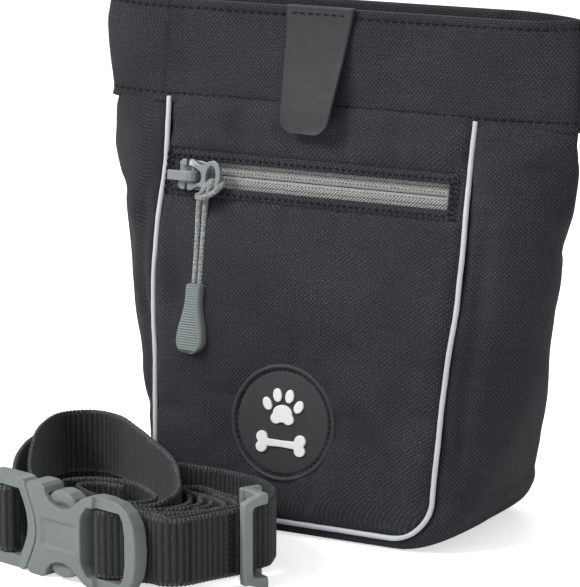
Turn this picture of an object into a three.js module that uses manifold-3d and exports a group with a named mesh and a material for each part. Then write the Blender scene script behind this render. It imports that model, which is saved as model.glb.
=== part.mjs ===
// Treat pouch: a standing fabric pouch with a magnetic mouth, a zip pocket, a round badge,
// a leather pull tab and a rolled 20 mm waist belt with a side release buckle.
// Millimetres, +Z up. The pouch front faces -Y. The origin is the centre of its footprint.
import * as THREE from 'three';
import { LoftGeometry } from 'three/addons/geometries/LoftGeometry.js';
import { mergeVertices } from 'three/addons/utils/BufferGeometryUtils.js';
import Module from 'manifold-3d';

const wasm = await Module();
wasm.setup();

const V = (x = 0, y = 0, z = 0) => new THREE.Vector3(x, y, z);
const { lerp, smoothstep, clamp, degToRad } = THREE.MathUtils;

// ---------------------------------------------------------------- driving dimensions
const FOOT_DEPTH = 66.7;          // front to back at the floor
const FOOT_HALF = 47.3;           // half width of the front panel at the floor
const SEAM_HALF = 52.5;           // half width of the front panel at the collar
const FRONT_LEAN = 0.147;         // the front leans back this much per mm of height
const BACK_LEAN = 0.286;          // the back leans forward this much per mm of height
const BELLY = 2.2;                // how far the front panel bulges
const BELLY_Z = 82;
const BELLY_SPREAD = 28;
const WIDEST_Z = 90;              // the front panel widens up to this height
const SIDE_FOLD = 28.5;           // how far the side gusset folds out at the top
const FOLD_RISE = 55;             // height over which the gusset folds out
const LIP_DRAW = 1.5;             // the mouth's ends draw in by this much
const COLLAR_Z = 128;             // lower hem of the collar
const FRONT_TOP = 158;
const BACK_TOP = 160;
const PINCH_START = 113;          // the back closes on the front between these heights
const PINCH_END = 141;
const LIPS = 9.2;                 // both lips together, front face to back face
const CLOTH = 1.2;                // outer cloth with its backing
const PANEL_EDGE = 1.7;           // the panels stop this far from the piping's centre
const GAP = 0.4;                  // air between neighbouring layers
const BEAD_R = 1.2;               // piping bead
const CORNER_R = 13;              // bottom corners of the front panel
const RIM_Z = 4.2;                // height of the bottom run of the piping
const FOLD_Z = 53.2;              // the front bends along this line when the mouth opens
const ZIP_Z = 105.9;
const WINDOW_HALF = 46.6;
const WINDOW_H = 7.4;
const BADGE_X = -3.2;
const BADGE_Z = 33.9;
const BADGE_R = 18.1;
const STRAP_W = 20;
const STRAP_T = 1.7;
const STRAP_Z = 14;               // centre height of the standing strap
const BUCKLE_H = 28;

// ---------------------------------------------------------------- materials
const finish = (color, roughness, metalness = 0) =>
  new THREE.MeshStandardMaterial({ color, roughness, metalness });
const MATERIALS = {
  cloth: () => finish(0x3b3b3f, 0.9),
  collar: () => finish(0x434246, 0.88),
  lining: () => finish(0x2b2c30, 0.8),
  piping: () => finish(0xcfd1d4, 0.45),
  webbing: () => finish(0x1c1d20, 0.85),
  plastic: () => finish(0x818883, 0.4),
  stiffener: () => finish(0x8f9290, 0.5),
  leather: () => finish(0x4b4d50, 0.6),
  badge: () => finish(0x252629, 0.7),
  emblem: () => finish(0xe9eae9, 0.5),
  tape: () => finish(0x8a8c86, 0.9),
  coil: () => finish(0x55585a, 0.5),
  enamel: () => finish(0x979c9e, 0.35, 0.2),
  cord: () => finish(0x8e9292, 0.85),
  grip: () => finish(0x737d7b, 0.5),
  steel: () => finish(0xa8abae, 0.3, 0.9),
};

// ---------------------------------------------------------------- solids
const toSolid = (geometry) => {
  const bare = new THREE.BufferGeometry();
  bare.setAttribute('position', geometry.attributes.position);
  bare.setIndex(geometry.index);
  const welded = mergeVertices(bare, 1e-4);
  return new wasm.Manifold(new wasm.Mesh({
    numProp: 3,
    vertProperties: new Float32Array(welded.attributes.position.array),
    triVerts: new Uint32Array(welded.index.array),
  }));
};
const toGeometry = (solid) => {
  const mesh = solid.getMesh();
  const geometry = new THREE.BufferGeometry();
  geometry.setAttribute('position', new THREE.BufferAttribute(mesh.vertProperties, 3));
  geometry.setIndex(new THREE.BufferAttribute(mesh.triVerts, 1));
  geometry.computeVertexNormals();
  return geometry;
};
const join = (...parts) => toGeometry(parts.map(toSolid).reduce((a, b) => a.add(b)));
const cut = (base, ...tools) =>
  toGeometry(tools.map(toSolid).reduce((a, b) => a.subtract(b), toSolid(base)));

// A closed body through a row of rings. Each ring must turn counterclockwise seen from the far
// end of the loft, so a row that turns the other way is reversed.
const ringNormal = (ring) => ring.reduce((sum, p, i) => {
  const q = ring[(i + 1) % ring.length];
  return sum.add(V().crossVectors(p, q));
}, V());
const ringCentre = (ring) => ring.reduce((sum, p) => sum.add(p), V()).divideScalar(ring.length);
const loft = (rings) => {
  const along = ringCentre(rings[1]).sub(ringCentre(rings[0]));
  const turned = ringNormal(rings[0]).dot(along) < 0;
  const facing = turned ? rings.map((ring) => [...ring].reverse()) : rings;
  return new LoftGeometry(facing, { capStart: true, capEnd: true });
};
const box = (x0, x1, y0, y1, z0, z1) => {
  const body = new THREE.BoxGeometry(x1 - x0, y1 - y0, z1 - z0);
  return body.translate((x0 + x1) / 2, (y0 + y1) / 2, (z0 + z1) / 2);
};
// A plate drawn in X and Z, standing from y0 to y1.
const plateXZ = (shape, y0, y1, curveSegments = 8) => {
  const body = new THREE.ExtrudeGeometry(shape, { depth: y1 - y0, bevelEnabled: false, curveSegments });
  return body.rotateX(Math.PI / 2).translate(0, y1, 0);
};
const outline = (points) => new THREE.Shape(points.map(([x, z]) => new THREE.Vector2(x, z)));
const tube = (curve, radius, sections, curveSegments = 8) => {
  const ring = new THREE.Shape().absarc(0, 0, radius, 0, 2 * Math.PI);
  return new THREE.ExtrudeGeometry(ring, { steps: sections, curveSegments, extrudePath: curve });
};
const steps = (from, to, count) => Array.from({ length: count + 1 }, (_, i) => lerp(from, to, i / count));

// ---------------------------------------------------------------- shape of the pouch
const belly = (z) => BELLY * Math.exp(-(((z - BELLY_Z) / BELLY_SPREAD) ** 2));
const frontY = (z) => -FOOT_DEPTH / 2 + FRONT_LEAN * z - belly(z);
const backY = (z) => {
  const leaning = FOOT_DEPTH / 2 - BACK_LEAN * z;
  const pinched = frontY(z) + LIPS;
  return lerp(leaning, pinched, smoothstep(z, PINCH_START, PINCH_END));
};
const seamHalf = (z) => lerp(FOOT_HALF, SEAM_HALF, smoothstep(z, 0, WIDEST_Z));
const foldOut = (z) =>
  SIDE_FOLD * (1 - Math.exp(-((z / FOLD_RISE) ** 1.5))) - LIP_DRAW * smoothstep(z, 146, BACK_TOP);
// The side is round-cornered at the foot and comes to a soft edge above.
const foldPower = (z) => lerp(0.5, 1.1, smoothstep(z, 0, 70));

// Half outline of the gusset at one height, from the front seam round the fold to the back
// seam: distance out from the seam against y.
const foldCurve = (z, out, inset, proud = 0) => {
  const front = frontY(z) - proud;
  const back = backY(z) + proud;
  const middle = (front + back) / 2;
  const half = (back - front) / 2 - inset;
  const power = foldPower(z);
  return steps(-Math.PI / 2, Math.PI / 2, 60).map((angle) => {
    const s = Math.sin(angle);
    const c = Math.max(0, Math.cos(angle));
    return {
      out: (out - 1.3 * inset + proud) * c ** power,
      y: middle + half * Math.sign(s) * Math.abs(s) ** power,
    };
  });
};
// Evenly spaced points of such an outline, leaving `front` and `back` mm free at its ends.
const sampleFold = (curve, front, back, count) => {
  const run = [0];
  curve.slice(1).forEach((p, i) => run.push(run[i] + Math.hypot(p.out - curve[i].out, p.y - curve[i].y)));
  return steps(front, run[run.length - 1] - back, count).map((target) => {
    const k = clamp(run.findIndex((r) => r >= target), 1, run.length - 1);
    const f = (target - run[k - 1]) / (run[k] - run[k - 1]);
    return { out: lerp(curve[k - 1].out, curve[k].out, f), y: lerp(curve[k - 1].y, curve[k].y, f) };
  });
};

// The seam between the front panel and the gusset, seen from the front: down the left side,
// round the bottom corners and up the right side, each point with its outward direction.
const CORNER_Z = RIM_Z + CORNER_R;
const seamPath = (top) => {
  const x0 = seamHalf(CORNER_Z) - CORNER_R;
  const side = steps(CORNER_Z, top, 7).slice(1).map((z) => ({ x: seamHalf(z), z, nx: 1, nz: 0 }));
  const corner = steps(-Math.PI / 2, 0, 5).map((a) => ({
    x: x0 + CORNER_R * Math.cos(a), z: CORNER_Z + CORNER_R * Math.sin(a), nx: Math.cos(a), nz: Math.sin(a),
  }));
  const right = [...corner, ...side];
  const left = right.map((p) => ({ ...p, x: -p.x, nx: -p.nx })).reverse();
  const bottom = steps(-x0, x0, 4).slice(1, -1).map((x) => ({ x, z: RIM_Z, nx: 0, nz: -1 }));
  return [...left, ...bottom, ...right];
};
// How far the gusset stands out from the seam. Under the pouch it would reach past the floor,
// which flattens it into the base.
const BASE_OUT = 1.35 * RIM_Z;
const gussetOut = (p) => {
  if (p.z > CORNER_Z) return foldOut(p.z);
  return lerp(BASE_OUT, foldOut(CORNER_Z), (p.z - RIM_Z) / CORNER_R);
};
const gussetRing = (p, inset, thickness) => {
  const row = (depth, flip) => {
    const points = sampleFold(foldCurve(p.z, gussetOut(p), depth), PANEL_EDGE, 0.6, 10);
    const ring = points.map((q) => V(p.x + p.nx * q.out, q.y, Math.max(depth, p.z + p.nz * q.out)));
    return flip ? ring.reverse() : ring;
  };
  return [...row(inset, false), ...row(inset + thickness, true)];
};

// A flat run of cloth across the pouch, following the front or the back.
const sheet = (heights, halfWidth, outerY, thickness) => loft(heights.map((z) => {
  const w = halfWidth(z);
  const y = outerY(z);
  return [V(-w, y, z), V(w, y, z), V(w, y + thickness, z), V(-w, y + thickness, z)];
}));

// ---------------------------------------------------------------- outer cloth
const cornerHalf = (z, radius) => {
  const centre = seamHalf(CORNER_Z) - CORNER_R;
  const drop = Math.max(0, CORNER_Z - z);
  if (z >= CORNER_Z) return seamHalf(z) - CORNER_R + radius;
  return centre + Math.sqrt(Math.max(0, radius ** 2 - drop ** 2));
};
const panelHalf = (z) => cornerHalf(z, CORNER_R - PANEL_EDGE);
const cornerHeights = steps(0.08, Math.PI / 2, 5)
  .map((a) => CORNER_Z - (CORNER_R - PANEL_EDGE) * Math.cos(a));

const makeFrontLower = () =>
  sheet([...cornerHeights, 30, 42, FOLD_Z - 0.2], panelHalf, frontY, CLOTH);

const zipTilt = Math.atan((frontY(ZIP_Z + 4) - frontY(ZIP_Z - 4)) / 8);
// Turns geometry drawn around the zip's centre line (X along the zip, -Y out of the cloth)
// to lie on the leaning front.
const onZip = (geometry) => geometry.rotateX(-zipTilt).translate(0, frontY(ZIP_Z), ZIP_Z);

const makeFrontUpper = () => {
  const heights = [FOLD_Z + 0.2, 64, 76, 88, 98, 106, 114, COLLAR_Z - GAP];
  const panel = sheet(heights, panelHalf, frontY, CLOTH);
  return cut(panel, onZip(box(-WINDOW_HALF, WINDOW_HALF, -6, 6, -WINDOW_H / 2, WINDOW_H / 2)));
};
const makeGusset = () => loft(seamPath(COLLAR_Z - GAP).map((p) => gussetRing(p, 0, CLOTH)));
const makeBack = () => {
  const half = (z) => seamHalf(z) - 1;
  const heights = [RIM_Z, CORNER_Z, 60, 100, PINCH_START, 120, COLLAR_Z - GAP];
  const footHalf = half(RIM_Z) - CORNER_R + 4;
  return sheet(heights, (z) => (z < CORNER_Z ? footHalf : half(z)), (z) => backY(z) - CLOTH, CLOTH);
};

// ---------------------------------------------------------------- piping
const pipingPoint = (p) => V(p.x, frontY(p.z) - 0.55, p.z);
const pipingRun = (points, count) => tube(new THREE.CatmullRomCurve3(points), BEAD_R, count, 3);
const makePipingSide = (side) => {
  const heights = steps(FOLD_Z + 0.6, COLLAR_Z - GAP, 6);
  return pipingRun(heights.map((z) => pipingPoint({ x: side * seamHalf(z), z })), 8);
};
const makePipingLower = () => pipingRun(seamPath(FOLD_Z - 0.6).map(pipingPoint), 44);

// ---------------------------------------------------------------- collar
const COLLAR_OUT = 1.0;           // the collar stands proud of the panels below it
const COLLAR_T = 1.4;
const collarHeights = (top) => [COLLAR_Z, 134, 141, 150, top];
const collarFrontY = (z) => frontY(z) - COLLAR_OUT;
const makeCollarFront = () =>
  sheet(collarHeights(FRONT_TOP), (z) => seamHalf(z) - 0.4, collarFrontY, COLLAR_T);
const collarSide = (z, depth, side) =>
  sampleFold(foldCurve(z, foldOut(z), depth, COLLAR_OUT), 0.6, 0, 10)
    .map((q) => V(side * (seamHalf(z) + q.out), q.y, z));
const makeCollarBack = () => loft(collarHeights(BACK_TOP).map((z) => {
  const outer = [...collarSide(z, 0, -1), ...collarSide(z, 0, 1).reverse()];
  const inner = [...collarSide(z, COLLAR_T, -1), ...collarSide(z, COLLAR_T, 1).reverse()];
  return [...outer, ...inner.reverse()];
}));
const STIFF_T = 1.2;
const FACING_T = 0.6;
const PLY = 0.3;                  // air between the collar's layers
const stiffHeights = [COLLAR_Z + 2, 138, 146, FRONT_TOP - 2];
const facingHeights = [COLLAR_Z + 1, 138, 146, FRONT_TOP - 0.5];
const frontStiffY = (z) => collarFrontY(z) + COLLAR_T + PLY;
const frontFacingY = (z) => frontStiffY(z) + STIFF_T + PLY;
const backInner = (z) => backY(z) + COLLAR_OUT - COLLAR_T;
const backStiffY = (z) => backInner(z) - PLY - STIFF_T;
const backFacingY = (z) => backStiffY(z) - PLY - FACING_T;

const MAGNET_R = 5;
const MAGNET_X = 26;
const MAGNET_Z = 148;
const leanAt = (line, z) => Math.atan((line(z + 3) - line(z - 3)) / 6);
const disc = (radius, x, line, thickness, z) => {
  const body = new THREE.CylinderGeometry(radius, radius, thickness, 24);
  return body.rotateX(-leanAt(line, z)).translate(x, line(z) + thickness / 2, z);
};
const makeStiffener = (line) => {
  const plate = sheet(stiffHeights, () => SEAM_HALF - 6, line, STIFF_T);
  const hole = (x) => disc(MAGNET_R + 0.4, x, (z) => line(z) - 2, STIFF_T + 4, MAGNET_Z);
  return cut(plate, hole(-MAGNET_X), hole(MAGNET_X));
};
const makeMagnet = (line, side) =>
  disc(MAGNET_R, side * MAGNET_X, (z) => line(z) + 0.05, STIFF_T - 0.1, MAGNET_Z);
const makeFacing = (line) => sheet(facingHeights, () => SEAM_HALF - 3, line, FACING_T);

// ---------------------------------------------------------------- lining
const LINER_T = 0.8;
const LINER_FLOOR = 5;
const linerRing = (z, depth) => {
  const half = seamHalf(z) - 2 - Math.max(0, 22 - z) ** 2 / 40;
  const out = Math.max(1, foldOut(z) - 3);
  const side = (s) => sampleFold(foldCurve(z, out, depth), 0, 0, 8).map((q) => V(s * (half + q.out), q.y, z));
  return [...side(-1), ...side(1).reverse()];
};
const LINER_IN = CLOTH + 0.6;
const makeLiner = () => {
  const levels = [12, 22, 36, 60, 90, 112, 122];
  const outside = [LINER_FLOOR, ...levels, COLLAR_Z - 1];
  const inside = [LINER_FLOOR + LINER_T, ...levels, COLLAR_Z + 1];
  const shell = cut(
    loft(outside.map((z) => linerRing(z, LINER_IN))),
    loft(inside.map((z) => linerRing(z, LINER_IN + LINER_T))),
  );
  const frontHeights = [FOLD_Z - 0.4, 70, 90, 112, 122, COLLAR_Z + 2];
  return cut(shell, sheet(frontHeights, (z) => seamHalf(z) - 1, (z) => frontY(z) - 1, 9.5));
};
const makeLinerFront = () => {
  const heights = [FOLD_Z + 0.4, 66, 82, 98, 114, COLLAR_Z - 1];
  return sheet(heights, (z) => seamHalf(z) - 3, (z) => frontY(z) + 6.6, LINER_T);
};
// The zip opens into a flat bag: its rear wall hangs from above the zip, its front wall from
// below it.
const POCKET_HALF = 44;
const POCKET_FLOOR = 62;
const POCKET_IN = 2.2;            // front wall, behind the outer cloth's face
const POCKET_DEEP = 5.6;          // rear wall
const makePocketBag = () => {
  const low = [POCKET_FLOOR, 74, 88];
  const wall = (heights, depth) => sheet(heights, () => POCKET_HALF, (z) => frontY(z) + depth, 0.5);
  const hem = (z) => frontY(z) + POCKET_IN + 0.1;
  const floor = sheet([POCKET_FLOOR, POCKET_FLOOR + 2], () => POCKET_HALF, hem, 3.6);
  const edge = (x) => loft([...low, 97].map((z) => {
    const y0 = frontY(z) + POCKET_IN + 0.2;
    const y1 = y0 + 3.5;
    return [V(x - 0.8, y0, z), V(x + 0.8, y0, z), V(x + 0.8, y1, z), V(x - 0.8, y1, z)];
  }));
  const edges = [-1, 1].map((side) => edge(side * (POCKET_HALF - 0.8)));
  return join(wall([...low, 102, 117], POCKET_DEEP), wall([...low, 97], POCKET_IN), floor, ...edges);
};

// ---------------------------------------------------------------- zip
const TAPE_OUT = 8;               // each tape reaches this far from the centre line
const TAPE_SPLIT = 0.7;           // half the gap between the tapes
const makeTape = (side) => {
  const z = [TAPE_SPLIT * side, TAPE_OUT * side].sort((a, b) => a - b);
  return onZip(box(-50, 50, 1.75, 2.15, z[0], z[1]));
};
const makeCoil = (side) => {
  const body = new THREE.CylinderGeometry(0.8, 0.8, 88, 8).rotateZ(Math.PI / 2);
  return onZip(body.translate(0, 3.3, side * 1.7));
};
const makeStop = (x, width) => onZip(box(x - width / 2, x + width / 2, 0.75, 1.45, -2.6, 2.6));

const SLIDER_X = -38.6;
const SLIDER_Z = -0.7;            // the slider body sits this far below the zip's centre line
const SLIDER_HALF = 4.5;
const roundedRect = (x0, x1, z0, z1, r) => {
  const s = new THREE.Shape();
  s.moveTo(x0 + r, z0);
  s.lineTo(x1 - r, z0).absarc(x1 - r, z0 + r, r, -Math.PI / 2, 0);
  s.lineTo(x1, z1 - r).absarc(x1 - r, z1 - r, r, 0, Math.PI / 2);
  s.lineTo(x0 + r, z1).absarc(x0 + r, z1 - r, r, Math.PI / 2, Math.PI);
  s.lineTo(x0, z0 + r).absarc(x0 + r, z0 + r, r, Math.PI, 1.5 * Math.PI);
  return s;
};
const makeSlider = () => {
  const face = plateXZ(roundedRect(-6, 6, -SLIDER_HALF, SLIDER_HALF, 2.4), -1.7, -0.5, 4);
  const rear = box(-6, 4, 4.5, 5.1, -3.4, 3.4);
  const post = box(-5.4, -2.4, -0.8, 4.8, 0.3, 1.1);
  const crown = box(-4.4, 3.0, -5.4, -1.6, -1.3, 1.3);
  const tongue = box(-9.6, -1.4, -5.4, -3.8, -1.6, 1.6);
  const tunnel = box(-1.9, 1.5, -4.4, -1.7, -4, 4);
  const body = cut(join(face, post, crown, tongue, rear), tunnel);
  return onZip(body.translate(SLIDER_X, 0, SLIDER_Z));
};
const PULL_PIN = { x: -0.2, y: -3.3 };
const PULL_Y = [-4.4, -2.9];        // front and back of the pull plate
const makePullPlate = () => {
  const pin = new THREE.CylinderGeometry(0.8, 0.8, 7.6, 12).rotateX(Math.PI / 2)
    .translate(PULL_PIN.x, PULL_PIN.y, 0);
  const arm = (z) => box(-1.1, 4.6, ...PULL_Y, z - 0.9, z + 0.9);
  const plate = plateXZ(roundedRect(4.0, 6.6, -3.9, 3.9, 0.8), ...PULL_Y, 4);
  const rim = plateXZ(roundedRect(5.8, 13.0, -4.4, 3.6, 3.0), ...PULL_Y, 5);
  const hole = plateXZ(roundedRect(7.6, 11.2, -2.9, 2.1, 1.6), -6, -1, 4);
  const body = cut(join(pin, arm(-3.0), arm(3.0), plate, rim), hole);
  return onZip(body.translate(SLIDER_X, 0, SLIDER_Z));
};

// ---------------------------------------------------------------- cord pull
const CORD_R = 0.9;
const EYE = V(9.4, -3.65, -3.65);   // middle of the eye's lower rim, from the slider's centre
const onSlider = (x, y, z) => V(EYE.x + x, EYE.y + y, EYE.z + z + SLIDER_Z)
  .applyAxisAngle(V(1, 0, 0), -zipTilt).add(V(SLIDER_X, frontY(ZIP_Z), ZIP_Z));
const GRIP_TOP = 73.5;
const GRIP_FOOT = 51.9;
const GRIP_X = -35.2;
const GRIP_NECK = 2.5;
const GRIP_WIDE = 4.2;
const GRIP_T = 3;
const gripY = (z) => {
  const up = (z - GRIP_FOOT) / (GRIP_TOP - GRIP_FOOT);
  return lerp(frontY(GRIP_FOOT) - 3.4, frontY(GRIP_TOP) - 2.6, up);
};
const makeCord = () => {
  const strand = (dx) => [
    V(GRIP_X + dx, gripY(GRIP_TOP), GRIP_TOP + 0.4),
    V(GRIP_X + 1.4 + dx, gripY(84), 84),
  ];
  const front = [...strand(-1.2), onSlider(-4.2, -2.0, -3.6), onSlider(-0.4, -2.3, -0.4)];
  const rear = [onSlider(-0.2, 2.1, -0.6), onSlider(-2.2, 1.5, -4.4), ...strand(1.2).reverse()];
  const path = [...front, onSlider(0, -1.4, 1.9), onSlider(0, 1.2, 1.9), ...rear];
  return tube(new THREE.CatmullRomCurve3(path), CORD_R, 44, 2);
};
const makeGrip = () => {
  const rings = steps(0, 1, 9).map((t) => {
    const z = lerp(GRIP_TOP, GRIP_FOOT, t);
    const round = Math.sqrt(Math.max(0.12, 1 - Math.max(0, (t - 0.78) / 0.22) ** 2));
    const w = lerp(GRIP_NECK, GRIP_WIDE, smoothstep(t, 0.25, 0.75)) * round;
    const y = gripY(z);
    const half = GRIP_T / 2;
    const crown = [[-w, -half * 0.6], [-w * 0.7, -half], [w * 0.7, -half], [w, -half * 0.6]];
    const section = [...crown, [w, half], [-w, half]];
    return section.map(([dx, dy]) => V(GRIP_X + dx, y + dy, z));
  });
  return loft(rings);
};

// ---------------------------------------------------------------- badge
const badgeTilt = Math.atan((frontY(BADGE_Z + 12) - frontY(BADGE_Z - 12)) / 24);
const onBadge = (geometry) =>
  geometry.rotateX(-badgeTilt).translate(BADGE_X, frontY(BADGE_Z) - 0.45, BADGE_Z);
const makeBadgeBase = () => {
  const profile = [[0, 0], [BADGE_R, 0], [BADGE_R, 1.2], [BADGE_R - 0.5, 1.7], [BADGE_R - 1.8, 1.7],
    [BADGE_R - 2.3, 1.1], [0, 1.1]].map(([r, h]) => new THREE.Vector2(r, h));
  return onBadge(new THREE.LatheGeometry(profile, 40).rotateX(Math.PI));
};
const RAISED = [-1.9, -1.4];      // the emblem stands in this band in front of the badge
const ellipse = (x, z, rx, rz, turn = 0) =>
  new THREE.Shape().absellipse(x, z, rx, rz, 0, 2 * Math.PI, false, turn);
const makePaw = () => {
  const pad = plateXZ(ellipse(0, 2.6, 4.0, 3.2), ...RAISED, 8);
  const toes = [[-5.4, 5.4, 0.5], [-2.1, 8.3, 0.15], [2.1, 8.3, -0.15], [5.4, 5.4, -0.5]]
    .map(([x, z, turn]) => plateXZ(ellipse(x, z, 1.45, 2.1, turn), ...RAISED, 6));
  const web = [-1, 1].flatMap((side) => [[3.6, 1.0, 3.9, 4.6], [1.55, 0.7, 4.9, 6.9]]
    .map(([x, half, z0, z1]) => box(side * x - half, side * x + half, ...RAISED, z0, z1)));
  return onBadge(join(pad, ...toes, ...web));
};
const makeBone = () => {
  const shaft = box(-6, 6, ...RAISED, -7.6, -5.0);
  const knob = (sx, sz) => plateXZ(ellipse(sx * 6.6, -6.3 + sz * 1.5, 2.0, 1.9), ...RAISED, 6);
  return onBadge(join(shaft, knob(-1, -1), knob(-1, 1), knob(1, -1), knob(1, 1)));
};

// ---------------------------------------------------------------- leather pull tab
const TAB_TOP = 158.6;
const TAB_FOOT = 121.4;
const TAB_X = -0.7;
const TAB_T = 1.6;
const TAB_STAND = 2.6;            // how far the free end stands off the collar
const makeTab = () => loft(steps(0, 1, 10).map((t) => {
  const z = lerp(TAB_TOP, TAB_FOOT, t);
  const round = Math.sqrt(Math.max(0.55, 1 - Math.max(0, (t - 0.88) / 0.12) ** 2 * 0.6));
  const w = lerp(11.75, 8.6, t) * round;
  const x = TAB_X - 1.2 * t;
  const y = collarFrontY(Math.min(z, FRONT_TOP)) - 0.45 - TAB_STAND * smoothstep(t, 0.1, 1);
  return [V(x - w, y - TAB_T, z), V(x + w, y - TAB_T - 1.2 * t, z), V(x + w, y - 1.2 * t, z), V(x - w, y, z)];
}));

// ---------------------------------------------------------------- belt loop on the back
const LOOP_STAND = 10.5;          // room behind the loop for the belt to pass
const LOOP_HALF = 19;
const LOOP_T = 1.6;
const makeBeltLoop = () => {
  const sewn = GAP;
  const profile = [[30, sewn], [35, sewn], [48, LOOP_STAND], [78, LOOP_STAND], [91, sewn], [96, sewn]];
  const heights = profile.map(([z]) => z);
  const standOff = (z) => profile.find(([at]) => at === z)[1];
  return sheet(heights, () => LOOP_HALF, (z) => backY(z) + standOff(z), LOOP_T);
};

// ---------------------------------------------------------------- buckle
const BUCKLE_AT = V(-47.5, -99.7, STRAP_Z);
const BUCKLE_TURN = degToRad(-14);
const placeBuckle = (geometry) =>
  geometry.rotateZ(BUCKLE_TURN).translate(BUCKLE_AT.x, BUCKLE_AT.y, BUCKLE_AT.z);
const fromBuckle = (x, y) => V(x, y, 0).applyAxisAngle(V(0, 0, 1), BUCKLE_TURN).add(BUCKLE_AT);
const H = BUCKLE_H / 2;
const mirrorOutline = (upper) => outline([...upper, ...upper.map(([x, z]) => [x, -z]).reverse()]);

const FEMALE_L = 45;
const INNER_BAR = 30;
const makeFemale = () => {
  const body = mirrorOutline([[1.5, 6], [0.4, H - 1.5], [2, H], [8, H], [10, 9.6], [16, 8.2], [22, 9.6],
    [25, H - 1.4], [30, H], [38, H - 1.2], [43.5, H - 4.5], [FEMALE_L, H - 9]]);
  const shell = cut(
    plateXZ(body, -4.6, 4.6),
    box(-1, 21.5, -2.9, 2.9, -11.4, 11.4),
    plateXZ(mirrorOutline([[24.4, 9.4], [25.4, 10.5], [38.8, 10.5], [40.6, 8.6]]), -6, 6),
    box(23.5, 50, 1.7, 6, -15, 15),
    box(26.5, 50, -6, -2.6, -15, 15),
  );
  const bar = new THREE.CylinderGeometry(1.3, 1.3, 21, 10).rotateX(Math.PI / 2).translate(INNER_BAR, 0, 0);
  return placeBuckle(join(shell, bar));
};
const makeMale = () => {
  const frame = mirrorOutline([[-20, H - 7], [-19, H - 2.6], [-15, H], [-2, H], [-0.2, H - 1.2], [0.2, 6.5]]);
  const plate = cut(plateXZ(frame, -2.5, 2.5), box(-16.6, -6.2, -5, 5, -10.4, 10.4));
  const bar = new THREE.CylinderGeometry(1.3, 1.3, 21.4, 10).rotateX(Math.PI / 2).translate(-10.6, 0, 0);
  const guide = box(-1, 15, -1.6, 1.6, -2.4, 2.4);
  const pocket = (z) => box(-2.2, 3, -4, 4, z - 2.8, z + 2.8);
  return placeBuckle(join(cut(plate, pocket(-8.4), pocket(8.4)), bar, guide));
};
const makeProng = (side) => {
  const arm = outline([[-1.8, 7.0], [9, 7.4], [18.5, 6.6], [20.6, 8.6], [19.6, 11.0], [15, 12.8], [11, 11.9],
    [9.8, 10.2], [-1.8, 9.8]].map(([x, z]) => [x, side * z]));
  return placeBuckle(plateXZ(arm, -2.4, 2.4));
};

// ---------------------------------------------------------------- webbing
// A standing strap along a plan curve, with three sections to each stretch between the curve's
// points; `lift` raises it, counted from point to point.
const strap = (curve, lift) => {
  const stretches = curve.points.length - 1;
  return loft(steps(0, 1, 3 * stretches).map((t) => {
    const tangent = curve.getTangent(t);
    const side = V(-tangent.y, tangent.x, 0).multiplyScalar(STRAP_T / 2);
    const foot = curve.getPoint(t).setZ(STRAP_Z - STRAP_W / 2 + lift(t * stretches));
    const top = foot.clone().setZ(foot.z + STRAP_W);
    return [foot.clone().sub(side), foot.clone().add(side), top.clone().add(side), top.clone().sub(side)];
  }));
};
const plan = (points) => new THREE.CatmullRomCurve3(points.map(([x, y]) => V(x, y, 0)), false, 'centripetal');
const BAR_WRAP = 1.3 + 0.35 + STRAP_T / 2;
const wrapFemaleBar = () => {
  const wrap = steps(-1.35, -Math.PI - 1.6, 5)
    .map((a) => [INNER_BAR + BAR_WRAP * Math.cos(a), BAR_WRAP * Math.sin(a)]);
  const path = [[49, 4.0], [44, 4.1], [40.2, 3.8], [36.8, 1.3], ...wrap, [36, 5.0], [42, 6.5], [49, 6.6]];
  return path.map(([x, y]) => fromBuckle(x, y)).map((p) => [p.x, p.y]);
};
// The strap leaves the buckle as two straight layers, one behind the other, and the slider
// sits on both.
const FLAP_START = [5.7, -105.2];
const FLAP_TURN = degToRad(63.4);
const LAYERS = 2.7;
const flapPoint = (along, behind) => [
  FLAP_START[0] + along * Math.cos(FLAP_TURN) - behind * Math.sin(FLAP_TURN),
  FLAP_START[1] + along * Math.sin(FLAP_TURN) + behind * Math.cos(FLAP_TURN),
];
// One strap: sewn end in the slider, round the buckle's bar and back, round the right end,
// along the back to the wide left loop, then two tighter turns inside it.
const BELT_PATH = [
  flapPoint(25.5, 0), flapPoint(12, 0), flapPoint(0, 0), ...wrapFemaleBar(),
  flapPoint(1, LAYERS), flapPoint(12, LAYERS), flapPoint(22, LAYERS), flapPoint(31, LAYERS),
  [16, -71], [12.5, -63.5], [6, -55.5], [-4, -47.8], [-15, -43], [-29, -40.8], [-42, -39.2],
  [-52, -33], [-60, -24.5], [-69, -15.8], [-80, -11.5], [-88.5, -18], [-90, -34], [-84, -52], [-74, -70],
  [-65, -83], [-54, -91], [-40, -94.5], [-22, -97.3], [-8, -96.5], [-0.5, -90], [5.5, -81], [9, -74],
  [5, -68], [-6, -63.6], [-14, -60.9], [-18, -64], [-14, -67.1], [-7, -69], [0.5, -72.3], [3, -76.5],
  [-1, -83.5], [-9, -90.5], [-22, -93.4], [-38, -91.2], [-52, -87], [-63, -77.5], [-74, -60], [-82, -42],
  [-84.5, -27], [-77.5, -20], [-67.5, -21.5], [-54, -31.8], [-41, -43.4], [-26.5, -57], [-15.5, -71],
  [-11, -79.5], [-14, -86.8], [-25, -89.4], [-38, -87.4], [-50, -81], [-53, -74], [-46, -67.4],
  [-34, -66.6], [-25, -71.5], [-19, -78.5], [-21, -84.4], [-30, -85.6], [-42, -80.8], [-47, -76],
  [-42, -71.5], [-34, -71.4],
];
const pathIndex = (x, y) => BELT_PATH.findIndex((p) => p[0] === x && p[1] === y);
const SINK = 3.6;                 // away from the buckle the strap comes down to the floor
const SINK_START = pathIndex(16, -71);
const RAISE = 3;                  // the inner strap of the wide loop stands this much higher
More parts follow.
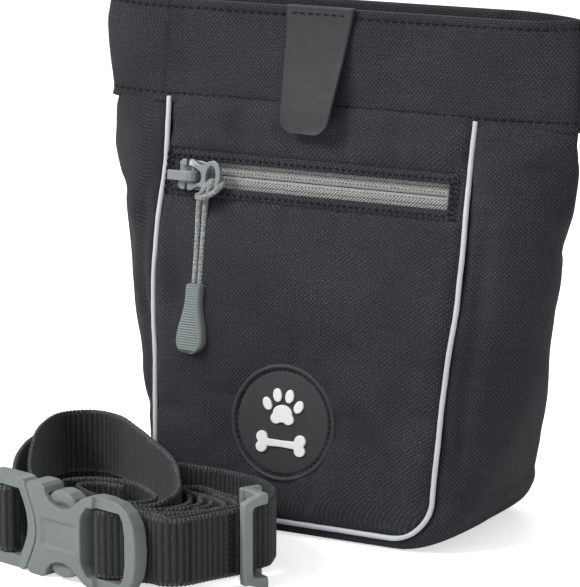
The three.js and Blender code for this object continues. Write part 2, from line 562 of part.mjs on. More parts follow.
const RAISE_START = pathIndex(-52, -87);
const RAISE_END = pathIndex(-14, -86.8);
const makeWebbing = () => strap(plan(BELT_PATH), (k) => {
  const sunk = -SINK * smoothstep(k, SINK_START, SINK_START + 5);
  const rising = smoothstep(k, RAISE_START, RAISE_START + 3);
  const falling = smoothstep(k, RAISE_END - 3, RAISE_END + 1);
  return lerp(sunk, RAISE, rising * (1 - falling));
});
const MALE_WRAP = [[-7.7, 1.2], [-8, -1.5], [-10.5, -2.7], [-13, -1.7], [-14.9, 2.0], [-17, 4.2],
  [-21, 4.6], [-26, 6.4]];
const makeMaleStrap = () => {
  const near = MALE_WRAP.map(([x, y]) => fromBuckle(x, y)).map((p) => [p.x, p.y]);
  const path = plan([...near, [-84, -84.5], [-93, -71], [-95.5, -58]]);
  return strap(path, (k) => -SINK * smoothstep(k, near.length, near.length + 3));
};

// ---------------------------------------------------------------- tri-glide
// Its own frame: X along the strap, Y towards the back of the strap. One bar crosses in front of
// the strap and two behind it.
const GLIDE_ALONG = 25;
const GLIDE_HALF = 5.2;
const GLIDE_BAR = 2.2;
const RAIL_H = 3.4;
const GLIDE_FRONT = [-3.9, -1.3];
const GLIDE_REAR = [LAYERS + 1.3, LAYERS + 3.3];
const makeGlide = () => {
  const bar = (x, [y0, y1]) => box(x - GLIDE_BAR / 2, x + GLIDE_BAR / 2, y0, y1, 0.2, BUCKLE_H);
  const edge = GLIDE_HALF - GLIDE_BAR / 2;
  const rearRail = (z0) => box(-GLIDE_HALF, GLIDE_HALF, ...GLIDE_REAR, z0, z0 + RAIL_H);
  const inner = -GLIDE_HALF + RAIL_H;
  const bridge = (z0) => box(-GLIDE_HALF, inner, GLIDE_FRONT[0], GLIDE_REAR[1], z0, z0 + RAIL_H);
  const rails = [0.2, BUCKLE_H - RAIL_H].flatMap((z0) => [rearRail(z0), bridge(z0)]);
  const body = join(bar(-edge, GLIDE_FRONT), bar(edge, GLIDE_REAR), bar(0, GLIDE_REAR), ...rails);
  const [x, y] = flapPoint(GLIDE_ALONG, 0);
  return body.rotateZ(FLAP_TURN).translate(x, y, 0);
};

// ---------------------------------------------------------------- assembly
const pouch = new THREE.Group();
const add = (name, geometry, material) => {
  const mesh = new THREE.Mesh(geometry, MATERIALS[material]());
  mesh.name = name;
  pouch.add(mesh);
};

add('front_panel_lower', makeFrontLower(), 'cloth');
add('front_panel_upper', makeFrontUpper(), 'cloth');
add('side_gusset', makeGusset(), 'cloth');
add('back_panel', makeBack(), 'cloth');
add('piping_lower', makePipingLower(), 'piping');
add('piping_left', makePipingSide(-1), 'piping');
add('piping_right', makePipingSide(1), 'piping');
add('collar_front', makeCollarFront(), 'collar');
add('collar_back', makeCollarBack(), 'collar');
add('collar_front_stiffener', makeStiffener(frontStiffY), 'stiffener');
add('collar_back_stiffener', makeStiffener(backStiffY), 'stiffener');
add('collar_front_facing', makeFacing(frontFacingY), 'lining');
add('collar_back_facing', makeFacing(backFacingY), 'lining');
add('magnet_front_left', makeMagnet(frontStiffY, -1), 'steel');
add('magnet_front_right', makeMagnet(frontStiffY, 1), 'steel');
add('magnet_back_left', makeMagnet(backStiffY, -1), 'steel');
add('magnet_back_right', makeMagnet(backStiffY, 1), 'steel');
add('treat_liner', makeLiner(), 'lining');
add('treat_liner_front', makeLinerFront(), 'lining');
add('pocket_bag', makePocketBag(), 'lining');
add('zip_tape_upper', makeTape(1), 'tape');
add('zip_tape_lower', makeTape(-1), 'tape');
add('zip_coil_upper', makeCoil(1), 'coil');
add('zip_coil_lower', makeCoil(-1), 'coil');
add('zip_stop_left', makeStop(-46.2, 0.8), 'enamel');
add('zip_stop_right', makeStop(46.0, 1.2), 'enamel');
add('zip_slider_body', makeSlider(), 'enamel');
add('zip_pull_plate', makePullPlate(), 'enamel');
add('pull_cord', makeCord(), 'cord');
add('cord_grip', makeGrip(), 'grip');
add('badge_base', makeBadgeBase(), 'badge');
add('badge_paw', makePaw(), 'emblem');
add('badge_bone', makeBone(), 'emblem');
add('leather_tab', makeTab(), 'leather');
add('belt_loop', makeBeltLoop(), 'webbing');
add('belt_webbing', makeWebbing(), 'webbing');
add('belt_male_end', makeMaleStrap(), 'webbing');
add('buckle_female', makeFemale(), 'plastic');
add('buckle_male', makeMale(), 'plastic');
add('buckle_prong_upper', makeProng(1), 'plastic');
add('buckle_prong_lower', makeProng(-1), 'plastic');
add('tri_glide', makeGlide(), 'plastic');

export default pouch;
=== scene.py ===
"""Treat pouch: cloth, webbing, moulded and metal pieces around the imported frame.

Lengths are in millimetres until a mesh is made, which is when they become metres.
X is to the right seen from the front, -Y is out of the pouch's front, and Z is up.
"""
import math

import bpy
import bmesh
import numpy as np
from mathutils import Matrix, Vector


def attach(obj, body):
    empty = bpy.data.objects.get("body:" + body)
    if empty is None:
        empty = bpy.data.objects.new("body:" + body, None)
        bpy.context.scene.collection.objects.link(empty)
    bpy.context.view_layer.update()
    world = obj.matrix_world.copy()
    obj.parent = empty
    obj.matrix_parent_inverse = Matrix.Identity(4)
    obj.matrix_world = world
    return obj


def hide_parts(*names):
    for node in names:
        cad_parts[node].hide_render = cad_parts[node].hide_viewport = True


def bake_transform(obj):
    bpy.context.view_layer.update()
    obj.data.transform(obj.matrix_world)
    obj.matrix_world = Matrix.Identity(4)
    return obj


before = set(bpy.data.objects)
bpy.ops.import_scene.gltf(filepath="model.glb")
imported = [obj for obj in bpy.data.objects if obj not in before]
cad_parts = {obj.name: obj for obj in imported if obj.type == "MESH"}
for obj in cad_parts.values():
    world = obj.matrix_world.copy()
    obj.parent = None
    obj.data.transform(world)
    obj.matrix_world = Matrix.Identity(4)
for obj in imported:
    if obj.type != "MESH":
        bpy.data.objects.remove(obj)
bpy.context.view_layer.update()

MM = 0.001
scene = bpy.context.scene
rng = np.random.default_rng(7)

# ---------------------------------------------------------------- driving dimensions
FOOT_DEPTH = 66.7       # front to back at the floor
FOOT_HALF = 47.3        # half width of the front panel at the floor
SEAM_HALF = 52.5        # half width of the front panel at the collar
FRONT_LEAN = 0.147
BACK_LEAN = 0.286
BELLY = 2.2
SIDE_FOLD = 28.5        # how far the gusset folds out at the top
COLLAR_Z = 128.0        # lower hem of the collar
FRONT_TOP = 158.0
BACK_TOP = 160.0
LIPS = 9.2              # both lips together
CLOTH = 1.2
CORNER_R = 13.0
RIM_Z = 4.2
CORNER_Z = RIM_Z + CORNER_R
FOLD_Z = 53.2           # the front bends along this line when the mouth opens
ZIP_Z = 105.9
WINDOW_HALF = 46.6
WINDOW_H = 7.4
BADGE = (-3.2, 33.9)
BADGE_R = 18.1
STRAP_W = 20.0
STRAP_T = 1.5
STRAP_Z = 14.0
RIB = 1.9               # pitch of the webbing's ribs
KNOT = 1.27             # pitch of the knots along its edges


def lerp(a, b, t):
    return a + (b - a) * t


def smooth(x, low, high):
    t = np.clip((np.asarray(x, float) - low) / (high - low), 0, 1)
    return t * t * (3 - 2 * t)


def bump_at(x, centre, width):
    return np.exp(-(((np.asarray(x, float) - centre) / width) ** 2))


# ---------------------------------------------------------------- shape of the pouch
def front_y(z):
    return -FOOT_DEPTH / 2 + FRONT_LEAN * z - BELLY * bump_at(z, 82, 28)


def back_y(z):
    leaning = FOOT_DEPTH / 2 - BACK_LEAN * z
    return lerp(leaning, front_y(z) + LIPS, smooth(z, 113, 141))


def seam_half(z):
    return lerp(FOOT_HALF, SEAM_HALF, smooth(z, 0, 90))


def fold_out(z):
    rise = np.maximum(np.asarray(z, float), 0) / 55
    return SIDE_FOLD * (1 - np.exp(-(rise ** 1.5))) - 1.5 * smooth(z, 146, BACK_TOP)


def fold_section(z, out, inset, proud, count):
    """`count` evenly spaced (out, y) points round the side fold, from front seam to back seam."""
    front, back = front_y(z) - proud, back_y(z) + proud
    middle, half = (front + back) / 2, (back - front) / 2 - inset
    power = lerp(0.5, 1.1, smooth(z, 0, 70))
    angle = np.linspace(-math.pi / 2, math.pi / 2, 241)
    s, c = np.sin(angle), np.maximum(0, np.cos(angle))
    reach = (out - 1.3 * inset + proud) * c ** power
    y = middle + half * np.sign(s) * np.abs(s) ** power
    run = np.concatenate([[0], np.cumsum(np.hypot(np.diff(reach), np.diff(y)))])
    at = np.linspace(0, run[-1], count)
    return np.stack([np.interp(at, run, reach), np.interp(at, run, y)], 1)


def hinge_share(z):
    """How much a point of the front at height z moves with the front lip."""
    return smooth(z, FOLD_Z - 2, FOLD_Z + 8)


# ---------------------------------------------------------------- meshes
def grid_faces(rows, cols, wrap_rows=False, wrap_cols=False):
    r = np.arange(rows if wrap_rows else rows - 1)
    c = np.arange(cols if wrap_cols else cols - 1)
    R, C = np.meshgrid(r, c, indexing="ij")
    R2, C2 = (R + 1) % rows, (C + 1) % cols
    return np.stack([R * cols + C, R * cols + C2, R2 * cols + C2, R2 * cols + C], -1).reshape(-1, 4)


def grid_normals(P, wrap_rows=False, wrap_cols=False):
    def slope(axis, wrap):
        if wrap:
            return np.roll(P, -1, axis) - np.roll(P, 1, axis)
        return np.gradient(P, axis=axis)
    n = np.cross(slope(0, wrap_rows), slope(1, wrap_cols))
    return n / np.maximum(np.linalg.norm(n, axis=-1, keepdims=True), 1e-9)


def run_lengths(P, axis):
    steps = np.linalg.norm(np.diff(P, axis=axis), axis=-1)
    pad = [(1, 0) if a == axis else (0, 0) for a in range(2)]
    return np.cumsum(np.pad(steps, pad), axis=axis)


def thicken(points, faces, normals, thickness):
    """A closed body from an open sheet: the sheet, a copy `thickness` behind it, and their rims."""
    n = len(points)
    a = faces[:, [0, 1, 2, 3]].ravel()
    b = faces[:, [1, 2, 3, 0]].ravel()
    rim = ~np.isin(a * n + b, b * n + a)
    rims = np.stack([b[rim], a[rim], a[rim] + n, b[rim] + n], 1)
    both = np.concatenate([points, points - normals * thickness])
    return both, np.concatenate([faces, faces[:, ::-1] + n, rims])


def drop_loose(points, faces, *fields):
    used = np.unique(faces)
    index = np.full(len(points), -1)
    index[used] = np.arange(len(used))
    return (points[used], index[faces], *[f[used] for f in fields])


def piece(name, points, faces, material, body=None, share=None, weave=None, stands_for=()):
    """One finished piece. It rides on `body`, or, when `share` is given, keeps its place with its transform baked into
    its points.
    """
    mesh = bpy.data.meshes.new(name)
    mesh.from_pydata((np.asarray(points, float) * MM).tolist(), [], [list(map(int, f)) for f in faces])
    if weave is not None:
        flat = np.zeros((len(points), 3), np.float32)
        flat[:, :2] = weave
        mesh.attributes.new("weave", "FLOAT_VECTOR", "POINT").data.foreach_set("vector", flat.ravel())
    obj = bpy.data.objects.new(name, mesh)
    scene.collection.objects.link(obj)
    facing = bmesh.new()
    facing.from_mesh(mesh)
    bmesh.ops.recalc_face_normals(facing, faces=facing.faces)
    facing.to_mesh(mesh)
    facing.free()
    mesh.polygons.foreach_set("use_smooth", np.ones(len(mesh.polygons), bool))
    mesh.materials.append(material)
    if share is None:
        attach(obj, body)
    else:
        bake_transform(obj)
    if stands_for:
        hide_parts(*stands_for)
    return obj


def cloth_piece(name, P, thickness, material, share, keep=None, stands_for=(), wrap_rows=False):
    """A sheet of cloth from a grid of points, with its weave laid along the grid."""
    rows, cols = P.shape[:2]
    faces = grid_faces(rows, cols, wrap_rows)
    if keep is not None:
        faces = faces[keep.ravel()]
    normals = grid_normals(P, wrap_rows)
    weave = np.stack([run_lengths(P, 0), run_lengths(P, 1)], -1)
    flat = [P.reshape(-1, 3), faces, normals.reshape(-1, 3), weave.reshape(-1, 2), share.ravel()]
    points, faces, normals, weave, share = drop_loose(*flat)
    points, faces = thicken(points, faces, normals, thickness)
    return piece(name, points, faces, material, share=np.tile(share, 2),
                 weave=np.tile(weave, (2, 1)), stands_for=stands_for)


# ---------------------------------------------------------------- soft creases and simulation
def waves(P, seed, shortest, longest, count=7):
    """A smooth random field over points, about -1 to 1."""
    local = np.random.default_rng(seed)
    total = np.zeros(P.shape[:-1])
    for _ in range(count):
        direction = local.normal(size=3)
        direction /= np.linalg.norm(direction)
        length = local.uniform(shortest, longest)
        total += np.sin(P @ direction * 2 * math.pi / length + local.uniform(0, 2 * math.pi))
    return total / math.sqrt(count * 2)


SIM_SCALE = 0.02        # the simulated copy is 20 times life size, where cloth settles well
SIM_FRAMES = 18


def draped(P, pinned, growth, pressure, cap):
    """Where the cloth of a grid comes to rest when it is `growth` too long for its seams."""
    rows, cols = P.shape[:2]
    mesh = bpy.data.meshes.new("drape")
    mesh.from_pydata((P.reshape(-1, 3) * SIM_SCALE).tolist(), [], grid_faces(rows, cols).tolist())
    obj = bpy.data.objects.new("drape", mesh)
    scene.collection.objects.link(obj)
    group = obj.vertex_groups.new(name="seams")
    group.add(np.nonzero(pinned.ravel())[0].tolist(), 1.0, "REPLACE")
    cloth = obj.modifiers.new("cloth", "CLOTH")
    settings = cloth.settings
    settings.vertex_group_mass = "seams"
    settings.mass = 0.3
    settings.tension_stiffness = settings.compression_stiffness = 20
    settings.shear_stiffness = 8
    settings.bending_stiffness = 1.2
    settings.air_damping = 3
    settings.shrink_min = -growth
    settings.use_pressure = True
    settings.uniform_pressure_force = pressure
    settings.effector_weights.gravity = 0
    cloth.point_cache.frame_start = 1
    cloth.point_cache.frame_end = SIM_FRAMES
    for number in range(1, SIM_FRAMES + 1):
        scene.frame_set(number)
    settled = obj.evaluated_get(bpy.context.evaluated_depsgraph_get()).data
    found = np.zeros(rows * cols * 3, np.float32)
    settled.vertices.foreach_get("co", found)
    scene.frame_set(1)
    bpy.data.objects.remove(obj)
    moved = found.reshape(P.shape) / SIM_SCALE - P
    length = np.linalg.norm(moved, axis=-1, keepdims=True)
    return P + moved * np.minimum(1, cap / np.maximum(length, 1e-6))


def refine(coarse, rows, cols):
    """A field known on a coarse grid, read off on a finer one, without facets."""
    fine = np.stack([np.interp(np.linspace(0, 1, rows), np.linspace(0, 1, len(coarse)), column)
                     for column in coarse.reshape(len(coarse), -1).T], 1)
    fine = fine.reshape(rows, coarse.shape[1], -1).transpose(1, 0, 2)
    flat = fine.reshape(coarse.shape[1], -1)
    fine = np.stack([np.interp(np.linspace(0, 1, cols), np.linspace(0, 1, len(flat)), column)
                     for column in flat.T], 1)
    fine = fine.reshape(cols, rows, -1).transpose(1, 0, 2)
    for _ in range(3):
        fine[1:-1] = (fine[:-2] + 2 * fine[1:-1] + fine[2:]) / 4
        fine[:, 1:-1] = (fine[:, :-2] + 2 * fine[:, 1:-1] + fine[:, 2:]) / 4
    return fine


# ---------------------------------------------------------------- materials
def srgb(r, g, b):
    def linear(c):
        c /= 255
        return c / 12.92 if c <= 0.04045 else ((c + 0.055) / 1.055) ** 2.4
    return (linear(r), linear(g), linear(b), 1.0)


def shade(colour, factor):
    return (*[c * factor for c in colour[:3]], 1.0)


class Finish:
    """A Principled material with short ways to add the nodes that make its pattern."""

    def __init__(self, name, roughness, metallic=0.0, sheen=0.0, specular=0.5, coat=0.0):
        self.material = bpy.data.materials.new(name)
        self.material.use_nodes = True
        self.tree = self.material.node_tree
        self.bsdf = self.tree.nodes["Principled BSDF"]
        self.set("Roughness", roughness)
        self.set("Metallic", metallic)
        self.set("Sheen Weight", sheen)
        self.set("Sheen Roughness", 0.5)
        self.set("Specular IOR Level", specular)
        self.set("Coat Weight", coat)
        self.normal = None

    def set(self, name, value):
        socket = self.bsdf.inputs[name]
        if isinstance(value, bpy.types.NodeSocket):
            self.tree.links.new(value, socket)
        else:
            socket.default_value = value

    def node(self, kind, inputs=None, **settings):
        made = self.tree.nodes.new(kind)
        for key, value in settings.items():
            setattr(made, key, value)
        for key, value in (inputs or {}).items():
            if isinstance(value, bpy.types.NodeSocket):
                self.tree.links.new(value, made.inputs[key])
            else:
                made.inputs[key].default_value = value
        return made

    def math(self, operation, a, b=0.0, c=0.0):
        return self.node("ShaderNodeMath", {0: a, 1: b, 2: c}, operation=operation).outputs[0]

    def wave(self, value, length):
        """0 to 1 and back, once every `length`."""
        return self.math("ABSOLUTE", self.math("SINE", self.math("MULTIPLY", value, math.pi / length)))

    def mix(self, share, a, b):
        made = self.node("ShaderNodeMix", {0: share, 6: a, 7: b}, data_type="RGBA")
        return made.outputs[2]

    def place(self):
        """Position on the piece, in millimetres."""
        at = self.node("ShaderNodeTexCoord").outputs["Object"]
        scale = (1000.0, 1000.0, 1000.0)
        return self.node("ShaderNodeVectorMath", {0: at, 1: scale}, operation="MULTIPLY").outputs[0]

    def thread_place(self):
        """Position along the cloth's two thread directions, in millimetres."""
        return self.node("ShaderNodeAttribute", attribute_name="weave").outputs["Vector"]

    def noise(self, at, size, detail=2.0):
        """0 to 1, with patches about `size` mm across."""
        made = self.node("ShaderNodeTexNoise", {"Vector": at, "Scale": 1.0 / size, "Detail": detail})
        return made.outputs[0]

    def ramp(self, value, low, high, out_low=0.0, out_high=1.0):
        inputs = {0: value, 1: low, 2: high, 3: out_low, 4: out_high}
        return self.node("ShaderNodeMapRange", inputs).outputs[0]

    def bump(self, height, depth, strength=1.0):
        """`depth` is the height of the pattern in millimetres."""
        inputs = {"Height": height, "Distance": depth * MM, "Strength": strength}
        if self.normal is not None:
            inputs["Normal"] = self.normal
        self.normal = self.node("ShaderNodeBump", inputs).outputs[0]
        self.set("Normal", self.normal)

    def split(self, vector):
        made = self.node("ShaderNodeSeparateXYZ", {0: vector})
        return made.outputs[0], made.outputs[1], made.outputs[2]

    def threads(self, u, v, pitch_u, pitch_v):
        """Height of a plain weave, 0 to 1: where one thread dips, the one across it stands up."""
        su = self.math("SINE", self.math("MULTIPLY", u, math.pi / pitch_u))
        sv = self.math("SINE", self.math("MULTIPLY", v, math.pi / pitch_v))
        au, av = self.math("ABSOLUTE", su), self.math("ABSOLUTE", sv)
        over = self.math("GREATER_THAN", self.math("MULTIPLY", su, sv), 0.0)
        warp = self.math("MULTIPLY", self.math("SQRT", au), self.math("MULTIPLY_ADD", av, 0.4, 0.6))
        weft = self.math("MULTIPLY", self.math("SQRT", av), self.math("MULTIPLY_ADD", au, 0.4, 0.6))
        picked = self.node("ShaderNodeMix", {0: over, 2: weft, 3: warp}).outputs[0]
        return picked, over


def woven(name, colour, pitch, depth, roughness=0.85, sheen=0.25, speck=0.5, fade=0.16, contrast=1.0):
    """Plain weave cloth: crossing threads of uneven tone, painted shade where a thread dips under its neighbour, specks
    where one catches light, soft fading.
    """
    f = Finish(name, roughness, sheen=sheen, specular=0.25)
    u, v, _ = f.split(f.thread_place())
    height, over = f.threads(u, v, pitch, pitch * 1.08)
    at = f.place()
    tone = f.mix(over, shade(colour, 1 + 0.5 * contrast), shade(colour, 1 - 0.3 * contrast))
    # Painted shade: the colour darkens where a thread dips low between its neighbours.
    tone = f.mix(f.ramp(height, 0.15, 0.85), shade(colour, 1 - 0.75 * contrast), tone)
    flecks = f.ramp(f.noise(f.thread_place(), pitch * 0.8, 1.0), 0.56, 0.74)
    tone = f.mix(f.math("MULTIPLY", flecks, speck), tone, shade(colour, 3.2))
    warp = f.node("ShaderNodeCombineXYZ", {0: f.math("MULTIPLY", u, 0.05), 1: v})
    weft = f.node("ShaderNodeCombineXYZ", {0: u, 1: f.math("MULTIPLY", v, 0.05)})
    streaks = f.math("ADD", f.noise(warp.outputs[0], pitch, 1.0), f.noise(weft.outputs[0], pitch, 1.0))
    cloudy = f.math("MULTIPLY", f.ramp(f.noise(at, 24.0), 0.3, 0.7, 1 - fade, 1 + fade),
                    f.ramp(streaks, 0.7, 1.3, 1 - 0.12 * contrast, 1 + 0.12 * contrast))
    tint = f.node("ShaderNodeCombineXYZ", {0: cloudy, 1: cloudy, 2: cloudy}).outputs[0]
    shaded = f.node("ShaderNodeVectorMath", {0: tone, 1: tint}, operation="MULTIPLY")
    f.set("Base Color", shaded.outputs[0])
    f.set("Roughness", f.ramp(height, 0.0, 1.0, roughness + 0.1, roughness - 0.08))
    f.bump(height, depth)
    f.bump(f.noise(at, 5.0), 0.12, 0.5)
    return f.material


def ribbed_yarn(name, colour):
    """Webbing: fine yarns that run along each rib, with painted shade in the grooves between ribs and painted
    highlights and glints on the rib tops; knotted at the two edges, with speckled painted highlights on the knots and
    painted shade between them.
    """
    f = Finish(name, 0.7, sheen=0.12, specular=0.35)
    along, across, _ = f.split(f.thread_place())
    rib = f.wave(along, RIB)
    yarn = f.wave(along, RIB / 4)
    fine = f.noise(f.place(), 0.45, 1.0)
    edge = f.ramp(f.math("ABSOLUTE", across), STRAP_W / 2 - 1.4, STRAP_W / 2 - 1.0)
    # Painted shade and light: dark in the grooves between ribs, lighter on the rib tops.
    tone = f.mix(f.ramp(rib, 0.1, 0.9), shade(colour, 0.1), shade(colour, 1.5))
    on_rib = f.ramp(rib, 0.35, 0.9)
    # Painted highlights along the yarns on the rib tops, then painted glints in random flecks on the rib tops.
    tone = f.mix(f.math("MULTIPLY", f.math("MULTIPLY", yarn, on_rib), 0.45), tone, shade(colour, 3.4))
    tone = f.mix(f.math("MULTIPLY", f.math("MULTIPLY", f.ramp(fine, 0.5, 0.62), on_rib), 0.4), tone, shade(colour, 6.5))
    # At the edges: painted highlights on the knots, painted shade between them.
    knots = f.math("MULTIPLY", f.wave(along, KNOT), f.ramp(fine, 0.35, 0.6))
    f.set("Base Color", f.mix(edge, tone, f.mix(knots, shade(colour, 0.25), shade(colour, 11.0))))
    f.bump(yarn, 0.08)
    f.bump(fine, 0.25, 0.9)
    return f.material


TAPE_THREAD, TAPE_SLANT = 1.1, 1.15     # pitch of the tape's threads, and how they slant


def tape_knit(name, colour):
    """Zip tape: chevron threads that meet at the centre line, with painted shade in the dips between threads and
    painted light on their crowns, and rows of chain stitch.
    """
    f = Finish(name, 0.85, sheen=0.1, specular=0.3)
    x, z, _ = f.split(f.thread_place())
    slant = f.math("MULTIPLY_ADD", f.math("ABSOLUTE", z), TAPE_SLANT, x)
    height = f.math("MULTIPLY", f.wave(slant, TAPE_THREAD), f.ramp(f.wave(z, 0.9), 0.0, 1.0, 0.6, 1.0))
    dots = f.math("GREATER_THAN", f.math("SINE", f.math("MULTIPLY", x, 2 * math.pi / 1.25)), -0.1)
    lane = f.math("MAXIMUM", f.math("COMPARE", z, 1.15, 0.2), f.math("COMPARE", z, 2.75, 0.16))
    # Painted shade and light: darker where the threads dip, lighter on their crowns.
    tone = f.mix(f.ramp(height, 0.05, 0.75), shade(colour, 0.3), shade(colour, 1.3))
    flecks = f.ramp(f.noise(f.place(), 0.45, 1.0), 0.5, 0.7)
    tone = f.mix(f.math("MULTIPLY", flecks, 0.5), tone, shade(colour, 1.7))
    f.set("Base Color", f.mix(f.math("MULTIPLY", f.math("MULTIPLY", lane, dots), 0.8), tone, shade(colour, 0.18)))
    f.bump(height, 0.2)
    return f.material


def braided(name, colour):
    f = Finish(name, 0.75, sheen=0.3, specular=0.4)
    flecks = f.ramp(f.noise(f.place(), 0.4, 1.0), 0.4, 0.62)
    f.set("Base Color", f.mix(flecks, shade(colour, 0.5), shade(colour, 1.5)))
    f.bump(f.noise(f.place(), 0.35), 0.12)
    return f.material


def moulded_plastic(name, colour, roughness=0.42, grain=0.03, coat=0.0):
    """Satin plastic: fine spark grain, slow tone change, a little smoother where hands rub it."""
    f = Finish(name, roughness, specular=0.45, coat=coat)
    at = f.place()
    f.set("Base Color", f.mix(f.noise(at, 12.0), shade(colour, 0.92), shade(colour, 1.08)))
    f.set("Roughness", f.ramp(f.noise(at, 6.0), 0.3, 0.7, roughness - 0.05, roughness + 0.07))
    f.bump(f.noise(at, 0.25, 3.0), grain)
    return f.material


def matt_leather(name, colour):
    f = Finish(name, 0.55, specular=0.4)
    at = f.place()
    pores = f.node("ShaderNodeTexVoronoi", {"Vector": at, "Scale": 1 / 0.7}).outputs[0]
    face = f.mix(f.noise(at, 7.0, 3.0), shade(colour, 0.93), shade(colour, 1.07))
    raw_edge = f.split(f.thread_place())[1]
    f.set("Base Color", f.mix(raw_edge, face, shade(colour, 1.9)))
    f.set("Roughness", f.ramp(f.noise(at, 4.0), 0.3, 0.7, 0.5, 0.62))
    f.bump(pores, 0.05, 0.6)
    f.bump(f.noise(at, 1.6, 3.0), 0.05, 0.5)
    return f.material


def enamelled(name, colour):
    """Satin enamel over die-cast metal, worn thin and shinier in spots."""
    f = Finish(name, 0.33, metallic=0.15, specular=0.55, coat=0.15)
    at = f.place()
    worn = f.ramp(f.noise(at, 1.2, 4.0), 0.62, 0.72)
    f.set("Base Color", f.mix(f.math("MULTIPLY", worn, 0.35), colour, shade(colour, 1.35)))
    f.set("Roughness", f.ramp(f.noise(at, 2.5), 0.3, 0.7, 0.27, 0.42))
    f.bump(f.noise(at, 0.4, 2.0), 0.02)
    return f.material


def plated_steel(name, colour):
    f = Finish(name, 0.28, metallic=1.0)
    f.set("Base Color", f.mix(f.noise(f.place(), 2.0), shade(colour, 0.85), colour))
    f.set("Roughness", f.ramp(f.noise(f.place(), 0.8), 0.3, 0.7, 0.2, 0.4))
    return f.material


def thread_finish(name, colour):
    f = Finish(name, 0.7, specular=0.3)
    twist = f.math("ABSOLUTE", f.math("SINE", f.math("MULTIPLY", f.split(f.place())[0], 9.0)))
    # Painted light and shade: lighter on the crowns of the twist, darker in its grooves.
    f.set("Base Color", f.mix(twist, shade(colour, 0.6), shade(colour, 1.5)))
    f.bump(twist, 0.05)
    return f.material


SHELL = woven("shell_weave", srgb(46, 46, 51), 0.64, 0.1, sheen=0.03, speck=0.5)
COLLAR = woven("collar_weave", srgb(43, 43, 48), 0.66, 0.11, sheen=0.03, speck=0.45)
LINING = woven("lining_weave", srgb(34, 35, 40), 0.4, 0.04, roughness=0.6, sheen=0.1, speck=0.15, contrast=0.5)
PIPING = woven("piping_weave", srgb(200, 203, 209), 0.35, 0.02, roughness=0.4, sheen=0.0, speck=0.0,
               fade=0.05, contrast=0.12)
WEBBING = ribbed_yarn("webbing_yarn", srgb(24, 25, 26))
TAPE = tape_knit("tape_knit", srgb(160, 163, 160))
CORD = braided("cord_braid", srgb(136, 140, 139))
PLASTIC = moulded_plastic("buckle_satin", srgb(113, 120, 118))
# The buckle's plastic, given a lighter colour as painted light because the glide faces away from the key lamp.
GLIDE_PLASTIC_PAINTED_LIGHT = moulded_plastic("glide_satin_painted_light", srgb(130, 137, 134))
GRIP = moulded_plastic("grip_satin", srgb(114, 125, 123), roughness=0.5)
BADGE_SOFT = moulded_plastic("badge_soft", srgb(47, 47, 51), roughness=0.62, grain=0.05)
EMBLEM_SOFT = moulded_plastic("emblem_soft", srgb(236, 236, 234), roughness=0.5)
STIFF = moulded_plastic("stiffener_sheet", srgb(140, 143, 142), roughness=0.6)
COIL = moulded_plastic("coil_nylon", srgb(84, 87, 88), roughness=0.4)
LEATHER = matt_leather("tab_leather", srgb(38, 39, 42))
ENAMEL = enamelled("zip_enamel", srgb(129, 134, 137))
STEEL = plated_steel("magnet_plating", srgb(190, 192, 195))
THREAD = thread_finish("black_thread", srgb(13, 14, 16))


# ---------------------------------------------------------------- pouch cloth
PANEL_TUCK = 0.8        # the front panel runs in under the piping bead to here


# How far the piping is drawn in towards the middle, by height.
LEFT_DRAW = [(0, 0), (20, 0), (40, 0.2), (51, 0.45), (64, 0.35), (72, 0.5), (82, 1.1), (92, 1.1), (101, 1.8),
             (108, 2.0), (116, 1.7), (128, 1.1)]
RIGHT_DRAW = [(0, -0.3), (14, -0.45), (28, 0), (38, 0.45), (48, 0.75), (57, 0.8), (65, 0.3), (74, -0.3),
              (90, -0.45), (105, -0.25), (115, -0.15), (128, -0.6)]


def drawn_in(z, table):
    at, value = np.array(table).T
    fine = np.linspace(-20, 150, 681)
    kernel = np.exp(-(np.linspace(-2, 2, 41) ** 2))
    eased = np.convolve(np.pad(np.interp(fine, at, value), 20, "edge"), kernel / kernel.sum(), "valid")
    return np.interp(z, fine, eased)


def seam_wave(z, side):
    """Sideways shift of the piping: it is pulled in where the zip box is sewn across."""
    return np.where(np.asarray(side) < 0, drawn_in(z, LEFT_DRAW), -drawn_in(z, RIGHT_DRAW))


# How much further out than the plain fold each side stands, by height.
LEFT_FOLD = [(0, 0), (30, -1.4), (41, -2.4), (52, -4.1), (57, -5.0), (63, -5.9), (68, -6.5), (74, -6.4), (80, -5.5),
             (86, -4.7), (91, -3.9), (97, -2.9), (102, -1.4), (107, -0.8), (112, -1.1), (119, -3.2), (125, -5.0),
             (130, -6.6), (134, -6.2), (138, -5.2), (143, -4.0), (150, -2.4), (160, -1.2)]
RIGHT_FOLD = [(0, 5), (10, 5.3), (20, 5.0), (26, 4.5), (31, 3.8), (43, 2.7), (54, 1.4), (62, 0.4), (72, -0.6), (82, 0.3), (92, 1.7),
              (100, 3.4), (113, 4.1), (124, 3.8), (135, 2.5), (150, 2.0), (160, 1.6)]


def side_out(z, side):
    return fold_out(z) + drawn_in(z, LEFT_FOLD if side < 0 else RIGHT_FOLD)


def panel_half(z, tuck):
    """Half width of the front panel, with round lower corners."""
    radius = CORNER_R - tuck
    corner = seam_half(CORNER_Z) - CORNER_R + np.sqrt(np.maximum(0, radius ** 2 - np.maximum(0, CORNER_Z - z) ** 2))
    return np.where(z >= CORNER_Z, seam_half(z) - tuck, corner)


